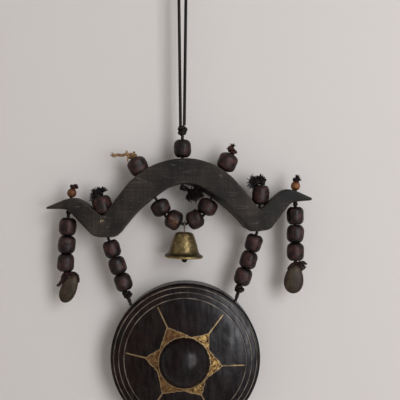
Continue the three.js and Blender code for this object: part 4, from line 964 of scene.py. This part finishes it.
low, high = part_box("clapper")
CLAPPER_BALL_R = (high.x - low.x) / 2
hinge = hinge_of("clapper")[0]
ball_at = Vector((hinge.x, 0, low.z + CLAPPER_BALL_R))
LOOP_R = 1.85 * MM
loop_at = Vector((hinge.x, 0, high.z - WIRE_R - LOOP_R))


def ball_profile(steps):
    """A ball of radius 1 as a profile to turn, from pole to pole."""
    angles = [math.pi * i / steps for i in range(1, steps)]
    return [(0, -1)] + [(math.sin(a), -math.cos(a)) for a in angles] + [(0, 1)]


ball_vertices, ball_faces = turned(ball_profile(16), 24)
clapper_form = together(
    ring(loop_at, LOOP_R, across=False),
    tube([loop_at - Vector((0, 0, LOOP_R)), ball_at], WIRE_R, 10),
    ([ball_at + CLAPPER_BALL_R * v for v in ball_vertices], ball_faces),
)
piece("clapper", "bell_brass", "bell_clapper", clapper_form,
      aged_cast_brass("dark_cast_brass", "#0f0b07", "#3a2e1c"))


# Wing pendants
# A small stop knot holds each string under the wing. Below its three beads the string is tied
# with a thinner maroon cord through a flat egg-shaped drop, cut from an olive-brown wood.
def smoothed_drop_wood():
    """Sanded hardwood, oiled by hands: fine grain along the drop and a soft sheen."""
    material, shader, add, place = blank_material("sanded_olive_brown_wood", {
        "Roughness": 0.5, "Specular IOR Level": 0.22})
    GRAIN = (1.2 * MM, 1.2 * MM, 14 * MM)
    along = add("Mapping", {"Vector": place, "Scale": [1 / size for size in GRAIN]})
    grain = add("TexNoise", {"Vector": along, "Scale": 1.0, "Detail": 5.0})
    cloud = add("TexNoise", {"Vector": place, "Scale": 1 / (9 * MM), "Detail": 3.0})
    mixed = add("Math", {0: grain, 1: cloud})
    spread = add("MapRange", {0: mixed, 1: 0.75, 2: 1.25})
    colour = add("Mix", {0: spread, 6: linear("#1f1912"), 7: linear("#44382a")}, data_type="RGBA")
    bump = add("Bump", {"Height": grain, "Strength": 0.4, "Distance": 0.12 * MM})
    feed(shader, {"Base Color": colour, "Normal": bump})
    return material


drop_wood = smoothed_drop_wood()
TIE_R, TIE_KNOT_R = 1.4 * MM, 3.3 * MM
# The ties, in mm right of and above the hole of their drop
TIED_AT = {"left": (-8.4, 3.6), "right": (4.6, 8)}
TIE_LOOPS = {
    "left": [(-7.4, 2), (-6.2, 0.3), (0, 0), (5.2, 0.3), (4.9, 2.6), (2.8, 5.4), (-0.8, 7),
             (-5, 5.6)],
    "right": [(-2.6, 6.4), (-5, 3.8), (-6.4, 1.2), (-5.6, 0.2), (0, 0), (5.6, 0.2), (6.4, 1.2),
              (5, 3.8), (2.6, 6.4)],
}
TIE_ENDS = {
    "left": [[(-8.6, 3.6), (-9.8, -1), (-10, -6), (-10.6, -9.5)],
             [(-7.8, 3), (-7.6, -1), (-8.7, -5), (-9.2, -8)],
             [(-9.4, 4), (-10.6, 1), (-10.8, -3)], [(-7, 2), (-3.4, 4.6), (1, 5)]],
    "right": [[(4.6, 8), (7, 7.2), (8.6, 4.6)], [(4.6, 8), (7.6, 9), (9, 7.6)],
              [(3.6, 7), (5.6, 5.4), (6.4, 3)], [(-3, 5.6), (0.6, 6.8), (3.6, 6.2)]],
}
EGG_SHARE = 0.16  # how much narrower a drop is towards its top
EGG_ROUNDS, EGG_SIDES = 24, 40
egg_vertices, egg_faces = turned(ball_profile(EGG_ROUNDS), EGG_SIDES)
for seed, side in enumerate(("left", "right")):
    node = f"pendant_swivel_{side}"
    stop = knot(sum(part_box(node), Vector()) / 2, UP, 2.6 * MM, 1.2 * MM, roll=seed, flatness=3)
    piece(node, "black_cord", f"pendant_stop_{side}", stop, black_waxed_cord)

    node = f"drop_{side}"
    hole, level = hinge_of(node)
    upright = level.cross(Vector((0, 1, 0)))
    low, high, _, _ = extent(node, hole, upright)
    left, right, _, _ = extent(node, hole, level)
    half_height, half_width = (high - low) / 2, (right - left) / 2
    half_depth = (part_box(node)[1].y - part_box(node)[0].y) / 2
    middle = (high + low) / 2
    if side == "right":
        half_height, middle = half_height - 0.6 * MM, middle + 0.6 * MM
        half_width *= 1.03
    shaped = []
    for v in egg_vertices:
        narrowing = (1 - EGG_SHARE * v.z) / (1 + 0.5 * EGG_SHARE**2)
        flat_front = math.copysign(abs(v.y) ** 0.8, v.y)
        shaped.append(Vector((v.x * half_width * narrowing, flat_front * half_depth,
                              v.z * half_height + middle)))
    drop_place = Matrix.Translation(hole) @ Matrix((
        (level.x, 0, upright.x, 0), (0, 1, 0, 0), (level.z, 0, upright.z, 0), (0, 0, 0, 1)))
    piece(node, "drop_wood", f"drop_{side}_carved", (shaped, egg_faces), drop_wood,
          place=drop_place)

    node, last_bead = f"pendant_cord_{side}", f"pendant_bead_{side}_3"
    centre, axis = hinge_of(last_bead)
    string_top = extent(node, centre, axis)[1]
    string_end = centre + axis * (extent(last_bead, centre, axis)[0] - 2.3 * MM)
    end = Vector(((string_end - hole).dot(level), (string_end - hole).dot(upright))) / MM

    def tied(points, radius):
        """A cord through points given in mm right of and above the drop's hole."""
        return laid_cord([hole + MM * (x * level + z * upright) for x, z in points], radius,
                         sides=12)

    rng = random.Random(31 + seed)
    x, z = TIED_AT[side]
    tied_at = hole + x * MM * level + z * MM * upright + Vector((0, -1.5 * MM, 0))
    forms = [
        laid_cord([centre + axis * string_top, string_end], 1.1 * CORD_R),
        knot(string_end, axis, 2.8 * MM, 1.1 * MM, roll=seed),
        knot(tied_at, upright, TIE_KNOT_R, 1.2 * MM, roll=1 + seed),
        tied([end.xy, *TIE_LOOPS[side], end.xy], TIE_R),
    ]
    for points in TIE_ENDS[side]:
        forms.append(tied(points, 1.1 * TIE_R))
        first, last = forms[-1][0][0], forms[-1][0][-1]
        forms.append(tuft(rng, last, last - first, 3 * MM, yarns=7, yarn_radius=0.5 * MM,
                          stem_radius=0.8 * TIE_R))
    piece(node, "black_cord", f"pendant_string_{side}", together(*forms), maroon_waxed_cord)


# Wall, floor and light
# A plain pale wall behind, a plain floor below, a tall soft lamp in front on the right like a
# window, a weak one behind the wall for the views from the back, and an even pale room.
WALL_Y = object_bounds()[1].y + 1.5 * MM
FLOOR_Z = cad_box[0][2] - 0.25
ROOM = 2.5
SQUARE = [(-ROOM, -ROOM), (ROOM, -ROOM), (ROOM, ROOM), (-ROOM, ROOM)]
for name, corners, code in (
    ("wall", [(x, WALL_Y, max(z, FLOOR_Z)) for x, z in SQUARE], "#cfcbc7"),
    ("floor", [(x, y, FLOOR_Z) for x, y in SQUARE], "#d3cfcc"),
):
    finish, shader, add, _ = blank_material("pale_matt_" + name, {
        "Base Color": linear(code), "Roughness": 0.9, "Specular IOR Level": 0.1})
    if name == "wall":  # seen from the front only
        back = add("NewGeometry").outputs["Backfacing"]
        mixed = add("MixShader", {0: back, 1: shader, 2: add("BsdfTransparent")})
        feed(finish.node_tree.nodes["Material Output"], {"Surface": mixed})
    mesh_object(name, (corners, [(0, 1, 2, 3)]), finish)

for name, place, aim, width, height, power, code in (
    ("window", (0.95, -1.6, 0.0), (0, 0, -0.28), 0.7, 1.5, 25, "#f9faff"),
    ("behind", (0.1, 1.2, 0.5), (0, 0, -0.25), 0.9, 0.9, 2.5, "#ffffff"),
):
    light = bpy.data.lights.new(name, "AREA")
    light.shape = "RECTANGLE"
    light.size, light.size_y, light.energy, light.color = width, height, power, linear(code)[:3]
    lamp = bpy.data.objects.new(name, light)
    lamp.location = place
    lamp.rotation_euler = (Vector(aim) - Vector(place)).to_track_quat("-Z", "Y").to_euler()
    bpy.context.collection.objects.link(lamp)

world = bpy.context.scene.world or bpy.data.worlds.new("room")
bpy.context.scene.world = world
world.use_nodes = True
background = world.node_tree.nodes["Background"]
background.inputs["Color"].default_value = linear("#cfcbc8")
background.inputs["Strength"].default_value = 0.7
